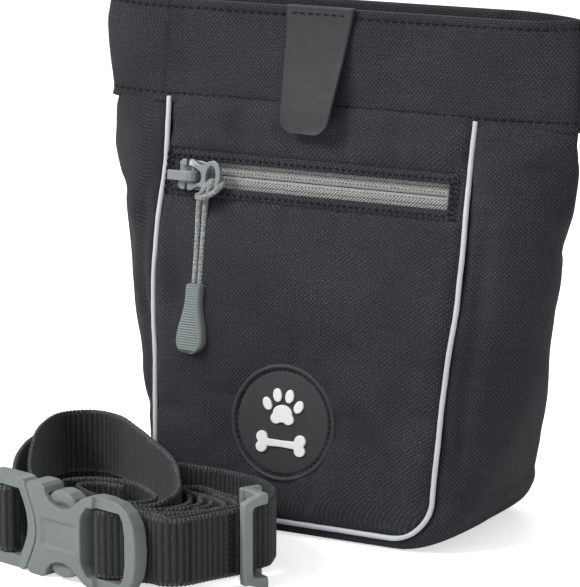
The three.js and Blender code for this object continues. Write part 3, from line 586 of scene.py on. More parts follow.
def front_dents(x, z):
    """Soft hollows and folds of the front panel, in millimetres towards the inside."""
    def crease(x0, z0, x1, z1, width, depth):
        length = math.hypot(x1 - x0, z1 - z0)
        ax, az = (x1 - x0) / length, (z1 - z0) / length
        along = (x - x0) * ax + (z - z0) * az
        across = (x - x0) * -az + (z - z0) * ax
        return depth * np.exp(-((across / width) ** 2)) * smooth(along, -9, 6) * (1 - smooth(along, length - 6, length + 9))
    folds = crease(14, 62, 45, 36, 4.0, 1.3) + crease(22, 36, 40, 14, 3.6, 1.5)
    folds += crease(30, 78, 47, 56, 4.5, 1.2) - crease(16, 50, 44, 26, 4.5, 1.0)
    folds += crease(-47, 94, -40, 66, 4.0, 1.2) + crease(-14, 119, 40, 123, 3.5, 1.0)
    folds += crease(-46, 121, -20, 117, 3.5, 1.1) - crease(-42, 60, -30, 24, 5.0, 1.0)
    folds += crease(6, 100, 34, 74, 7.0, 0.7) - crease(-16, 92, 16, 60, 8.0, 0.7)
    folds += 1.4 * np.exp(-(((x + 47) / 6) ** 2) - (((z - 116) / 9) ** 2))
    folds += 1.2 * np.exp(-(((x - 30) / 10) ** 2) - (((z - 9) / 4) ** 2))
    return folds


# The window's hem is a folded edge: it stands a little proud, with a stitched groove behind it.
HEM = 2.6
BOX_STITCH = 3.4        # distance of the zip box's stitching from the window


def window_relief(x, z):
    beyond_x = np.abs(x) - WINDOW_HALF
    beyond_z = np.abs(z - ZIP_Z) - WINDOW_H / 2
    outside = np.maximum(beyond_x, beyond_z)
    stitched = 0.35 * bump_at(outside, BOX_STITCH, 0.6)
    return stitched - 0.35 * (1 - smooth(outside, HEM - 0.6, HEM + 0.5)) + 0.25 * bump_at(outside, 0, 0.5)


def make_front():
    low = CORNER_Z - (CORNER_R - PANEL_TUCK) * np.cos(np.linspace(0.02, math.pi / 2, 16))
    window = ZIP_Z - WINDOW_H / 2, ZIP_Z + WINDOW_H / 2
    z = np.concatenate([low, np.arange(18.5, window[0] - 6, 1.3), np.linspace(window[0] - 5.5, window[0], 12),
                        np.linspace(window[0], window[1], 9)[1:-1],
                        np.linspace(window[1], window[1] + 5.5, 12), np.arange(window[1] + 6.5, COLLAR_Z + 1.5, 1.3)])
    edge = WINDOW_HALF / float(seam_half(ZIP_Z) - PANEL_TUCK)
    inner = np.linspace(-edge, edge, 75)
    across = np.concatenate([np.linspace(-1, -edge, 13)[:-1], inner, np.linspace(edge, 1, 13)[1:]])
    Z = np.repeat(z[:, None], len(across), 1)
    X = panel_half(Z, PANEL_TUCK) * across
    side = np.sign(across)
    X = X + seam_wave(Z, side) * np.abs(across) ** 3
    rest = np.stack([X, front_y(Z), Z], -1)

    rows, cols = 46, 36
    coarse = rest[np.linspace(0, len(z) - 1, rows).astype(int)][:, np.linspace(0, len(across) - 1, cols).astype(int)]
    pinned = np.zeros((rows, cols), bool)
    pinned[[0, -1]] = pinned[:, [0, -1]] = True
    pinned |= (np.abs(coarse[..., 2] - ZIP_Z) < 8) & (np.abs(coarse[..., 0]) < 50)
    pinned |= np.hypot(coarse[..., 0] - BADGE[0], coarse[..., 2] - BADGE[1]) < BADGE_R
    moved = draped(coarse, pinned, 0.02, 1.5, 1.8) - coarse
    at_rows = np.linspace(0, len(z) - 1, rows).astype(int)
    at_cols = np.linspace(0, len(across) - 1, cols).astype(int)
    full = np.stack([np.interp(np.arange(len(z)), at_rows, c) for c in moved.reshape(rows, -1).T], 1)
    full = full.reshape(len(z), cols, 3).transpose(1, 0, 2).reshape(cols, -1)
    full = np.stack([np.interp(np.arange(len(across)), at_cols, c) for c in full.T], 1)
    moved = full.reshape(len(across), len(z), 3).transpose(1, 0, 2)
    for _ in range(2):
        moved[1:-1] = (moved[:-2] + 2 * moved[1:-1] + moved[2:]) / 4
        moved[:, 1:-1] = (moved[:, :-2] + 2 * moved[:, 1:-1] + moved[:, 2:]) / 4

    P = rest + moved
    near_badge = smooth(np.hypot(X - BADGE[0], Z - BADGE[1]), BADGE_R - 1, BADGE_R + 8)
    near_zip = smooth(np.maximum(np.abs(X) - 50, np.abs(Z - ZIP_Z) - 8), 0, 6)
    calm = near_badge * near_zip
    P[..., 1] += front_dents(X, Z) * near_badge * lerp(0.3, 1, near_zip) + 0.18 * waves(P, 3, 12, 40) * calm
    P[..., 1] += window_relief(X, Z)
    to_edge = (1 - np.abs(across)) * 50
    P[..., 1] += 0.9 * (1 - smooth(to_edge, 0, 2.6))
    P[..., 1] += 0.8 * (1 - smooth(Z - Z.min(), 0, 2.2))

    cell_z = (z[:-1] + z[1:]) / 2
    cell_x = (across[:-1] + across[1:]) / 2
    hole = ((cell_z > window[0]) & (cell_z < window[1]))[:, None] & (np.abs(cell_x) < edge)[None, :]
    return cloth_piece("front_panel", P, CLOTH, SHELL, hinge_share(Z), keep=~hole,
                       stands_for=("front_panel_lower", "front_panel_upper"))


def seam_path(top, spacing=0.8):
    """Down the left front seam, round the bottom corners and up the right, with outward directions."""
    centre = float(seam_half(CORNER_Z)) - CORNER_R
    z = np.arange(CORNER_Z, top, spacing)[1:]
    angle = np.linspace(-math.pi / 2, 0, 22)
    x = np.concatenate([centre + CORNER_R * np.cos(angle), seam_half(z)])
    height = np.concatenate([CORNER_Z + CORNER_R * np.sin(angle), z])
    nx = np.concatenate([np.cos(angle), np.ones(len(z))])
    nz = np.concatenate([np.sin(angle), np.zeros(len(z))])
    floor = np.linspace(-centre, centre, 70)[1:-1]
    flat = np.zeros(len(floor))
    X = np.concatenate([-x[::-1], floor, x])
    Z = np.concatenate([height[::-1], flat + RIM_Z, height])
    NX = np.concatenate([-nx[::-1], flat, nx])
    NZ = np.concatenate([nz[::-1], flat - 1, nz])
    return X + seam_wave(Z, np.sign(X)) * np.abs(NX), Z, NX, NZ


BASE_OUT = 1.35 * RIM_Z


def gusset_point_rows(top, count):
    X, Z, NX, NZ = seam_path(top)
    rows = []
    for x, z, nx, nz in zip(X, Z, NX, NZ):
        out = float(side_out(max(z, CORNER_Z), x))
        if z < CORNER_Z:
            turn = math.asin(min(1.0, (CORNER_Z - z) / CORNER_R)) / (math.pi / 2)
            out = lerp(BASE_OUT, out, min(1.0, (z - RIM_Z) / CORNER_R * 3.0))
            nx, nz = math.copysign(math.cos(math.pi / 2 * turn ** 2.2), x), -math.sin(math.pi / 2 * turn ** 2.2)
        q = fold_section(z, out, 0, 0, count)
        rows.append(np.stack([x + nx * q[:, 0], q[:, 1], np.maximum(0, z + nz * q[:, 0])], 1))
    return np.array(rows), Z


def make_gusset():
    count = 48
    P, Z = gusset_point_rows(COLLAR_Z + 1.5, count)
    at_rows = np.linspace(0, len(Z) - 1, 110).astype(int)
    at_cols = np.linspace(0, count - 1, 17).astype(int)
    coarse = P[at_rows][:, at_cols]
    pinned = np.zeros(coarse.shape[:2], bool)
    pinned[[0, -1]] = pinned[:, [0, -1]] = True
    pinned |= coarse[..., 2] < 2.5
    moved = draped(coarse, pinned, 0.025, 1.2, 2.2) - coarse
    full = np.stack([np.interp(np.arange(len(Z)), at_rows, c) for c in moved.reshape(len(at_rows), -1).T], 1)
    full = full.reshape(len(Z), len(at_cols), 3).transpose(1, 0, 2).reshape(len(at_cols), -1)
    full = np.stack([np.interp(np.arange(count), at_cols, c) for c in full.T], 1)
    moved = full.reshape(count, len(Z), 3).transpose(1, 0, 2)
    for _ in range(3):
        moved[1:-1] = (moved[:-2] + 2 * moved[1:-1] + moved[2:]) / 4
        moved[:, 1:-1] = (moved[:, :-2] + 2 * moved[:, 1:-1] + moved[:, 2:]) / 4
    normals = grid_normals(P)
    normals *= np.sign((normals * (P - np.array([0, 0, 60]))).sum(-1, keepdims=True))
    share = np.linspace(0, 1, count)[None, :] * np.ones((len(Z), 1))
    height = Z[:, None] * np.ones((1, count))
    off_base = smooth(P[..., 2], 2, 14)
    arc = run_lengths(P, 1)
    beside_piping = 1.5 * bump_at(arc, 6.5, 2.6) * smooth(height, 14, 34) * (1 - smooth(height, 88, 112))
    tuck = 0.7 * (1 - smooth(arc, 0, 2.2))
    hollow = 1.6 * np.exp(-((share - 0.3) / 0.14) ** 2 - ((height - 92) / 15) ** 2)
    depth = (beside_piping + hollow + 0.7 * waves(P, 11, 18, 55)) * off_base + tuck
    P = P + moved * off_base[..., None] - normals * depth[..., None]
    P[..., 2] = np.maximum(P[..., 2], 0.02)
    weight = hinge_share(height) * (1 - smooth(share, 0.02, 0.98))
    return cloth_piece("side_gusset_cloth", P[::-1], CLOTH, SHELL, weight[::-1],
                       stands_for=("side_gusset",))


def make_back():
    z = np.concatenate([np.linspace(1.5, 12, 10), np.arange(13.5, COLLAR_Z + 1.5, 1.5)])
    across = np.linspace(-1, 1, 90)
    Z = np.repeat(z[:, None], len(across), 1)
    below = np.clip(CORNER_Z - Z, 0, 0.88 * CORNER_R)
    half = seam_half(Z) - 0.4 - CORNER_R + np.sqrt(CORNER_R ** 2 - below ** 2)
    X = half * across
    P = np.stack([X, back_y(Z) + 0.25, Z], -1)
    at_rows = np.linspace(0, len(z) - 1, 40).astype(int)
    at_cols = np.linspace(0, len(across) - 1, 32).astype(int)
    coarse = P[at_rows][:, at_cols]
    pinned = np.zeros(coarse.shape[:2], bool)
    pinned[[0, -1]] = pinned[:, [0, -1]] = True
    pinned |= (np.abs(coarse[..., 0]) < 20) & (coarse[..., 2] > 28) & (coarse[..., 2] < 98)
    moved = draped(coarse, pinned, 0.015, 0.8, 1.4) - coarse
    full = np.stack([np.interp(np.arange(len(z)), at_rows, c) for c in moved.reshape(len(at_rows), -1).T], 1)
    full = full.reshape(len(z), len(at_cols), 3).transpose(1, 0, 2).reshape(len(at_cols), -1)
    full = np.stack([np.interp(np.arange(len(across)), at_cols, c) for c in full.T], 1)
    P = P + full.reshape(len(across), len(z), 3).transpose(1, 0, 2)
    free = smooth(np.maximum(np.abs(X) - 19, np.maximum(28 - Z, Z - 98)), 0, 6)
    P[..., 1] += 0.5 * waves(P, 21, 20, 60) * free
    P[..., 1] -= 0.8 * (1 - smooth((1 - np.abs(across)) * 50, 0, 2.5))
    return cloth_piece("back_panel_cloth", P[::-1], CLOTH, SHELL, np.zeros(P.shape[:2]),
                       stands_for=("back_panel",))


# ---------------------------------------------------------------- collar
COLLAR_OUT = 1.0
LIP_DEPTH = 3.9         # cloth, stiffener and facing of one lip
SIDE_DEPTH = 2.3
HEM_DROP = 1.3


def collar_ring(z, depth_lip, depth_side, line=70, fold=34):
    """Points round the collar at one height, `depth` inside its outer face, and each one's share
    of the front lip's movement. It starts at the left end of the front."""
    half = float(seam_half(z))
    front = float(front_y(z)) - COLLAR_OUT
    back = float(back_y(z)) + COLLAR_OUT
    x = np.linspace(-half, half, line)
    t = np.linspace(0, 1, fold)
    settle = 1 - smooth(np.minimum(t, 1 - t), 0.0, 0.16)
    extra = (depth_lip - depth_side) * settle

    def fold_at(which):
        side = fold_section(z, float(side_out(z, which)), depth_side, COLLAR_OUT, fold)
        return np.stack([which * (half + side[:, 0]), side[:, 1] + np.where(t < 0.5, extra, -extra)], 1)
    right, left = fold_at(1)[1:-1], fold_at(-1)[::-1][1:-1]
    front_row = np.stack([x, np.full(line, front + depth_lip)], 1)
    back_row = np.stack([x[::-1], np.full(line, back - depth_lip)], 1)
    share = np.concatenate([np.ones(line), 1 - smooth(t, 0.1, 0.9)[1:-1], np.zeros(line),
                            smooth(t, 0.1, 0.9)[1:-1]])
    return np.concatenate([front_row, right, back_row, left]), share


def collar_top(share):
    return lerp(BACK_TOP, FRONT_TOP, share)


def make_collar():
    roll = np.linspace(0, math.pi, 9)
    profile = [(0.35, 0.0, 1.2), (0.0, 0.0, 0.5), (0.25, 0.0, 0.0)]
    profile += [(z, 0.0, 0.0) for z in np.linspace(1.2, 28.8, 24)]
    rows, weights = [], []

    def ring(rise, lift, inward):
        """One loop of the band: rise above the lower hem, then how far in, 0 outside to 1 inside."""
        low, share = collar_ring(COLLAR_Z + min(rise, 29), inward * LIP_DEPTH, inward * SIDE_DEPTH)
        scale = (collar_top(share) - COLLAR_Z) / 30
        z = COLLAR_Z + rise * scale + lift - HEM_DROP * (1 - smooth(rise, 0, 14))
        rows.append(np.column_stack([low, z]))
        weights.append(share)

    ring(1.6, 0, 0.32)
    ring(0.15, 0, 0.3)
    ring(-0.15, 0, 0.16)
    ring(0.05, 0, 0.02)
    for rise in np.linspace(0.7, 28.9, 26):
        ring(rise, 0, 0)
    for angle in roll[1:-1]:
        ring(28.9, 1.1 * math.sin(angle), (1 - math.cos(angle)) / 2)
    for rise in np.linspace(28.9, 1.8, 20):
        ring(rise, 0, 1)
    P, share = np.array(rows), np.array(weights)
    normals = grid_normals(P, True, True)
    outside = np.arange(len(P)) < 30
    lean = waves(P, 31, 22, 60) * 0.8 + waves(P, 32, 8, 20) * 0.15
    edge = smooth(P[..., 2], COLLAR_Z + 1, COLLAR_Z + 9) * (1 - smooth(P[..., 2], 150, 157))
    stitched = 0.3 * bump_at(P[..., 2], COLLAR_Z + 1.3, 0.7) + 0.3 * bump_at(P[..., 2], collar_top(share) - 2.4, 0.8)
    facing = np.sign((normals * (P - P.mean((0, 1)))).sum(-1, keepdims=True))
    push = (lean * (0.25 + 0.75 * edge) - stitched) * outside[:, None]
    P = P + normals * facing * push[..., None]
    faces = grid_faces(*P.shape[:2], wrap_rows=True, wrap_cols=True)
    weave = np.stack([run_lengths(P, 1), P[..., 2]], -1).reshape(-1, 2)
    return piece("collar_band", P.reshape(-1, 3), faces, COLLAR, share=share.ravel(), weave=weave,
                 stands_for=("collar_front", "collar_back", "collar_front_facing", "collar_back_facing"))


# ---------------------------------------------------------------- lining
def make_liner():
    rows, weights = [], []
    heights = np.concatenate([[6.0], np.linspace(8, 30, 9), np.linspace(36, COLLAR_Z + 2, 22)])
    for z in heights:
        half = float(seam_half(z)) - 2.4 - max(0, 22 - z) ** 2 / 40
        pocket = 5.0 * float(smooth(z, 48, 60))
        front = float(front_y(z)) + 2.2 + pocket
        back = float(back_y(z)) - 2.6
        t = np.linspace(0, 1, 26)

        def fold_at(which):
            side = fold_section(z, max(1.0, float(side_out(z, which)) - 3), 2.2, 0, 26)
            shift = (front - side[0, 1]) * (1 - smooth(t, 0, 0.5)) + (back - side[-1, 1]) * smooth(t, 0.5, 1)
            return np.stack([which * (half + side[:, 0]), side[:, 1] + shift], 1)
        x = np.linspace(-half, half, 44)
        share = np.concatenate([np.ones(44), 1 - smooth(t, 0.05, 0.95)[1:-1], np.zeros(44),
                                smooth(t, 0.05, 0.95)[1:-1]])
        ring = np.concatenate([
            np.stack([x, np.full(44, front)], 1), fold_at(1)[1:-1],
            np.stack([x[::-1], np.full(44, back)], 1), fold_at(-1)[::-1][1:-1]])
        rows.append(np.column_stack([ring, np.full(len(ring), z)]))
        weights.append(share * float(hinge_share(z)))
    floor = rows[0]
    centre = floor.mean(0)
    for shrink in (0.66, 0.33, 0.02):
        rows.insert(0, centre + (floor - centre) * shrink)
        weights.insert(0, weights[-1] * 0)
    P, share = np.array(rows), np.array(weights)
    P[..., :2] += (0.35 * waves(P, 41, 14, 40) * smooth(P[..., 2], 8, 30) * (1 - smooth(P[..., 2], 110, 125)))[..., None]
    faces = grid_faces(*P.shape[:2], wrap_cols=True)
    normals = grid_normals(P, wrap_cols=True)
    normals *= np.sign((normals * (P - centre - np.array([0, 0, 60]))).sum(-1, keepdims=True))
    points, faces = thicken(P.reshape(-1, 3), faces, normals.reshape(-1, 3), 0.7)
    weave = np.tile(np.stack([run_lengths(P, 1), run_lengths(P, 0)], -1).reshape(-1, 2), (2, 1))
    return piece("treat_liner_cloth", points, faces, LINING, share=np.tile(share.ravel(), 2), weave=weave,
                 stands_for=("treat_liner", "treat_liner_front"))


# ---------------------------------------------------------------- tubes, cords and thread
def path_frames(path, closed=False):
    """Unit tangents of a path and two directions across it that turn smoothly along it."""
    tangents = np.roll(path, -1, 0) - np.roll(path, 1, 0) if closed else np.gradient(path, axis=0)
    tangents /= np.linalg.norm(tangents, axis=1, keepdims=True)
    first = np.cross(tangents[0], [0.0, 0.2, 1.0])
    across = [first / np.linalg.norm(first)]
    for t in tangents[1:]:
        a = across[-1] - t * (across[-1] @ t)
        across.append(a / np.linalg.norm(a))
    across = np.array(across)
    return tangents, across, np.cross(tangents, across)


def resample(path, spacing):
    run = np.concatenate([[0], np.cumsum(np.linalg.norm(np.diff(path, axis=0), axis=1))])
    at = np.linspace(0, run[-1], max(3, int(run[-1] / spacing) + 1))
    return np.stack([np.interp(at, run, path[:, k]) for k in range(3)], 1)


def rounded_path(points, spacing=0.3):
    """A smooth curve through a few points (centripetal Catmull-Rom)."""
    P = np.array(points, float)
    P = np.vstack([2 * P[0] - P[1], P, 2 * P[-1] - P[-2]])
    out = []
    for a, b, c, d in zip(P, P[1:], P[2:], P[3:]):
        knots = np.cumsum([0] + [max(np.linalg.norm(q - p), 1e-6) ** 0.5 for p, q in ((a, b), (b, c), (c, d))])
        t = np.linspace(knots[1], knots[2], 24, endpoint=False)[:, None]
        k0, k1, k2, k3 = knots
        ab = (k1 - t) / (k1 - k0) * a + (t - k0) / (k1 - k0) * b
        bc = (k2 - t) / (k2 - k1) * b + (t - k1) / (k2 - k1) * c
        cd = (k3 - t) / (k3 - k2) * c + (t - k2) / (k3 - k2) * d
        abc = (k2 - t) / (k2 - k0) * ab + (t - k0) / (k2 - k0) * bc
        bcd = (k3 - t) / (k3 - k1) * bc + (t - k1) / (k3 - k1) * cd
        out.append((k2 - t) / (k2 - k1) * abc + (t - k1) / (k2 - k1) * bcd)
    return resample(np.vstack([*out, P[-2:-1]]), spacing)


def tube(path, radius, sides=12, closed=False, relief=None):
    """Points and faces of a tube. `relief(run, angle)` adds to its radius."""
    _, across, up = path_frames(path, closed)
    run = np.concatenate([[0], np.cumsum(np.linalg.norm(np.diff(path, axis=0), axis=1))])
    angle = np.linspace(0, 2 * math.pi, sides, endpoint=False)
    r = np.full((len(path), sides), float(radius)) if np.isscalar(radius) else np.repeat(radius[:, None], sides, 1)
    if relief is not None:
        r = r + relief(run[:, None], angle[None, :])
    ring = across[:, None] * np.cos(angle)[None, :, None] + up[:, None] * np.sin(angle)[None, :, None]
    P = path[:, None] + ring * r[..., None]
    faces = grid_faces(*P.shape[:2], wrap_rows=closed, wrap_cols=True)
    points = P.reshape(-1, 3)
    if closed:
        return points, faces
    caps = [[*range(sides)][::-1], [*range(len(points) - sides, len(points))]]
    return points, [*faces.tolist(), *caps]


def merge(bodies):
    points, faces, start = [], [], 0
    for p, f in bodies:
        points.append(p)
        faces += [[i + start for i in face] for face in (f.tolist() if hasattr(f, "tolist") else f)]
        start += len(p)
    return np.vstack(points), faces


def stitch(a, b, out, radius):
    """One stitch: a plump thread that dives into the cloth at both ends."""
    t = np.linspace(0, 1, 7)
    path = a + (b - a) * t[:, None] + out * (np.sin(t * math.pi) * radius * 0.9 - radius * 0.55)[:, None]
    return tube(path, radius * (0.45 + 0.55 * np.sin(t * math.pi)), 6)


def stitch_row(path, outward, pitch=2.5, fill=0.78, radius=0.3):
    """Stitches laid end to end along a path that lies on the cloth."""
    run = np.concatenate([[0], np.cumsum(np.linalg.norm(np.diff(path, axis=0), axis=1))])
    count = max(1, int(round(run[-1] / pitch)))
    marks = np.linspace(0, run[-1], count + 1)
    def at(s, field):
        return np.array([np.interp(s, run, field[:, k]) for k in range(3)])
    bodies = []
    for s0, s1 in zip(marks, marks[1:]):
        end = s0 + (s1 - s0) * fill
        bodies.append(stitch(at(s0, path), at(end, path), at((s0 + end) / 2, outward), radius))
    return bodies


def thread_piece(name, bodies, body=None, share_of=None, material=None):
    points, faces = merge(bodies)
    share = None if share_of is None else share_of(points)
    return piece(name, points, faces, material or THREAD, body=body, share=share)


def make_piping():
    X, Z, NX, NZ = seam_path(COLLAR_Z + 1.0)
    wobble = 0.05 * np.sin(Z * 0.31 + X * 0.2)
    path = resample(np.stack([X + NX * wobble, front_y(Z) - 0.6, Z + NZ * wobble * 0.4], 1), 0.55)
    points, faces = tube(path, 0.8, 14, relief=lambda run, a: 0.02 * np.sin(run * 0.9))
    share = hinge_share(points[:, 2])
    weave = np.stack([np.repeat(np.arange(len(path)) * 0.55, 14), np.tile(np.arange(14) * 0.5, len(path))], 1)
    return piece("piping_bead", points, faces, PIPING, share=share, weave=weave,
                 stands_for=("piping_lower", "piping_left", "piping_right"))


# ---------------------------------------------------------------- moulded and cast pieces
def prism(outline, low, high, axis=1):
    """An outline given thickness along one axis. The outline is in the other two, in order."""
    n = len(outline)
    flat = np.array(outline, float)
    points = np.vstack([np.insert(flat, axis, low, axis=1), np.insert(flat, axis, high, axis=1)])
    sides = [[i, n + i, n + (i + 1) % n, (i + 1) % n] for i in range(n)]
    return points, [list(range(n)), list(range(2 * n - 1, n - 1, -1)), *sides]


def slab(x0, x1, y0, y1, z0, z1):
    return prism([(x0, z0), (x1, z0), (x1, z1), (x0, z1)], y0, y1)


def oval(x, z, rx, rz, turn=0.0, count=28):
    a = np.linspace(0, 2 * math.pi, count, endpoint=False)
    c, s = math.cos(turn), math.sin(turn)
    px, pz = rx * np.cos(a), rz * np.sin(a)
    return np.stack([x + px * c - pz * s, z + px * s + pz * c], 1)


def rod(start, end, radius, sides=20):
    path = np.linspace(np.array(start, float), np.array(end, float), 4)
    return tube(path, radius, sides)


def scratch(points, faces):
    """A helper mesh in millimetres, for the modifiers below."""
    mesh = bpy.data.meshes.new("scratch")
    mesh.from_pydata(np.asarray(points, float).tolist(), [], [list(map(int, f)) for f in faces])
    work = bmesh.new()
    work.from_mesh(mesh)
    bmesh.ops.recalc_face_normals(work, faces=work.faces)
    work.to_mesh(mesh)
    work.free()
    obj = bpy.data.objects.new("scratch", mesh)
    scene.collection.objects.link(obj)
    return obj


def applied(obj, kind, **settings):
    modifier = obj.modifiers.new(kind, kind)
    for key, value in settings.items():
        setattr(modifier, key, value)
    graph = bpy.context.evaluated_depsgraph_get()
    obj.data = bpy.data.meshes.new_from_object(obj.evaluated_get(graph))
    obj.modifiers.clear()


def moulded(solids, cutters, added, voxel, softness):
    """Solids with cutters taken out and more solids added, fused, with every edge softened."""
    tools = [scratch(*cutter) for cutter in cutters]
    bodies = []
    for solid in solids:
        obj = scratch(*solid)
        for tool in tools:
            applied(obj, "BOOLEAN", object=tool, operation="DIFFERENCE", solver="EXACT")
        points = np.zeros(len(obj.data.vertices) * 3)
        obj.data.vertices.foreach_get("co", points)
        bodies.append((points.reshape(-1, 3), [list(f.vertices) for f in obj.data.polygons]))
        bpy.data.objects.remove(obj)
    for tool in tools:
        bpy.data.objects.remove(tool)
    obj = scratch(*merge([*bodies, *added]))
    applied(obj, "REMESH", mode="VOXEL", voxel_size=voxel)
    applied(obj, "SMOOTH", factor=0.5, iterations=softness)
    points = np.zeros(len(obj.data.vertices) * 3)
    obj.data.vertices.foreach_get("co", points)
    faces = [list(f.vertices) for f in obj.data.polygons]
    bpy.data.objects.remove(obj)
    return points.reshape(-1, 3), faces


def mirrored(upper):
    return [*upper, *[(x, -z) for x, z in reversed(upper)]]


BUCKLE_AT = np.array([-47.5, -99.7, STRAP_Z])
BUCKLE_TURN = math.radians(-14)


def turned(P, angle, at):
    c, s = math.cos(angle), math.sin(angle)
    P = np.asarray(P, float)
    return np.stack([P[..., 0] * c - P[..., 1] * s, P[..., 0] * s + P[..., 1] * c, P[..., 2]], -1) + at


def on_buckle(P):
    return turned(P, BUCKLE_TURN, BUCKLE_AT)


def part_line(z):
    """Where the buckle's two halves meet: it bows into the female half at mid-height."""
    return 0.3 + 5.6 * np.maximum(0, np.cos(math.pi * np.asarray(z) / 28)) ** 1.3


SEAM_GAP = 0.2


def crowned(P):
    """The buckle's faces fall away a little towards its upper and lower edges."""
    P = P.copy()
    P[:, 1] *= 1 - 0.0009 * P[:, 2] ** 2
    return P


def make_female():
    z = np.linspace(-12.4, 12.4, 27)
    left = list(zip(part_line(z) + SEAM_GAP, z))
    top = [(2.0, 13.7), (3.2, 14), (7.4, 14), (8.8, 13.0), (9.6, 11.2), (11.4, 9.3), (14, 8.3), (17, 8.1),
           (20, 8.9), (22.4, 10.9), (25, 12.9), (28.5, 13.9), (33, 14), (38.5, 13.2), (42.2, 11.2), (44.3, 8),
           (45.2, 4), (45.4, 0)]
    body = [*left, *top, *[(x, -h) for x, h in reversed(top[:-1])]]
    slot = mirrored([(24.3, 6.4), (24.9, 8.0), (26.6, 10.4), (38.6, 10.4), (40.0, 8.4), (40.9, 4.2)])
    cutters = [slab(-1, 21.5, -2.9, 2.9, -11.2, 11.2), prism(slot, -8, 8),
               slab(23.8, 50, 1.9, 8, -16, 16), prism([(27.5, -8), (52, -8), (52, -3.1), (29.5, -3.1)], -16, 16, 2)]
    points, faces = moulded([prism(body, -4.7, 4.6)], cutters, [rod((30, 0, -10.8), (30, 0, 10.8), 1.3)], 0.27, 5)
    front = smooth(-points[:, 1], 3.4, 4.2)
    band = (1 - smooth(np.abs(points[:, 2]), 3.4, 4.4)) * smooth(points[:, 0], part_line(points[:, 2]) + 1.5,
                                                               part_line(points[:, 2]) + 4)
    points[:, 1] += 0.55 * front * band * (1 - smooth(points[:, 0], 21, 24))
    lip = bump_at(np.abs(points[:, 2]) - 4.9, 0, 0.6) * front * smooth(points[:, 0], 7, 10)
    points[:, 1] -= 0.16 * lip * (1 - smooth(points[:, 0], 21, 24))
    return piece("buckle_female_half", on_buckle(crowned(points)), faces, PLASTIC, body="belt",
                 stands_for=("buckle_female",))


def make_male():
    z = np.linspace(-12.6, 12.6, 27)
    right = list(zip(part_line(z) - SEAM_GAP, z))
    top = [(-1.0, 13.7), (-3, 14), (-14.5, 14), (-17.6, 13), (-19.3, 11), (-20.2, 7), (-20.4, 0)]
    frame_outline = [*right, *top, *[(x, -h) for x, h in reversed(top[:-1])]]
    slot_z = np.linspace(-10.2, 10.2, 21)
    slot = [*zip(part_line(slot_z) - 5.6, slot_z), (-16.4, 10.2), (-16.9, 8.5), (-16.9, -8.5), (-16.4, -10.2)]
    cutters = [prism(slot, -8, 8)]
    cutters += [slab(-2.2, 3, -1.9, 8, h - 2.6, h + 2.6) for h in (-8.4, 8.4)]
    bars = [rod((-10.6, 0, -10.6), (-10.6, 0, 10.6), 1.3), slab(-0.8, 15, -1.6, 1.6, -2.4, 2.4)]
    points, faces = moulded([prism(frame_outline, -2.9, 2.5)], cutters, bars, 0.27, 5)
    near_seam = smooth(points[:, 0], part_line(points[:, 2]) - 5.2, part_line(points[:, 2]) - 0.4)
    head = smooth(-points[:, 1], 1.9, 2.6) * near_seam
    points[:, 1] -= 1.7 * head
    return piece("buckle_male_half", on_buckle(crowned(points)), faces, PLASTIC, body="male_half",
                 stands_for=("buckle_male",))


def make_prong(side, name):
    arm = [(-1.8, 7.0), (9, 7.4), (17, 6.6), (20.4, 7.6), (21.0, 9.4), (20.2, 11.2), (18.0, 12.5), (15, 13.1),
           (12.3, 12.6), (10.6, 11.4), (9.8, 10.2), (-1.8, 9.8)]
    points, faces = moulded([], [], [prism([(x, side * h) for x, h in arm], -2.6, 2.4)], 0.22, 9)
    button = smooth(points[:, 0], 9, 12) * (1 - smooth(points[:, 0], 18, 21.5))
    points[:, 1] *= 1 + 0.15 * button * (1 - smooth(np.abs(points[:, 2]), 11, 13.4))
    hollow = bump_at(points[:, 0], 15.2, 3.2) * bump_at(np.abs(points[:, 2]), 8.3, 1.1)
    points[:, 1] += 0.8 * hollow * smooth(-points[:, 1], 1, 2.4)
    return piece(f"buckle_prong_{name}_arm", on_buckle(points), faces, PLASTIC,
                 body=f"prong_{name}", stands_for=(f"buckle_prong_{name}",))


FLAP_START = np.array([5.7, -105.2, 0])
FLAP_TURN = math.radians(63.4)
LAYERS = 2.7
GLIDE_ALONG = 25.0


def flap_point(along, behind):
    return turned([along, behind, 0.0], FLAP_TURN, FLAP_START)[:2]


def make_glide():
    edge, top = 4.3, 28.0
    front, rear = (-4.1, -1.3), (LAYERS + 1.3, LAYERS + 3.5)
    bars = [slab(-5.9, -2.7, *front, 1.6, 25.6), slab(edge - 1.2, edge + 1.2, *rear, 0.4, top - 0.2),
            slab(-1.1, 1.1, *rear, 0.4, top - 0.2)]
    upper = [(-5.9, 24.5), (-2.7, 24.4), (1.2, 24.9), (2.4, 25.6), (2.4, 28.0), (1.0, 28.2), (-4.2, 26.4), (-5.8, 25.6)]
    for rail, z0, z1 in ((upper, top - 3.3, top), ([(x, top - z) for x, z in upper], 0.2, 3.3)):
        bars += [prism(rail, front[0], -1.2), slab(-0.4, 2.4, front[0] + 0.4, rear[1], z0, z1)]
        bars += [slab(-1.2, edge + 1.2, *rear, z0, z1)]
    points, faces = moulded([], [], bars, 0.27, 9)
    bulge = smooth(-points[:, 1], 2.2, 3.6) * (1 - smooth(np.abs(points[:, 2] - 14), 8.5, 10.5))
    points[:, 1] += 0.5 * bulge
    points[:, 2] = np.maximum(points[:, 2], 0.05)
    at = np.append(flap_point(GLIDE_ALONG, 0), 0)
    return piece("tri_glide_slider", turned(points, FLAP_TURN, at), faces, GLIDE_PLASTIC_PAINTED_LIGHT, body="glide",
                 stands_for=("tri_glide",))


# ---------------------------------------------------------------- webbing
EDGE_ACROSS = np.array([-10.0, -9.85, -9.45, -8.8, -7.0, -3.5, 0, 3.5, 7.0, 8.8, 9.45, 9.85, 10.0]) / 10


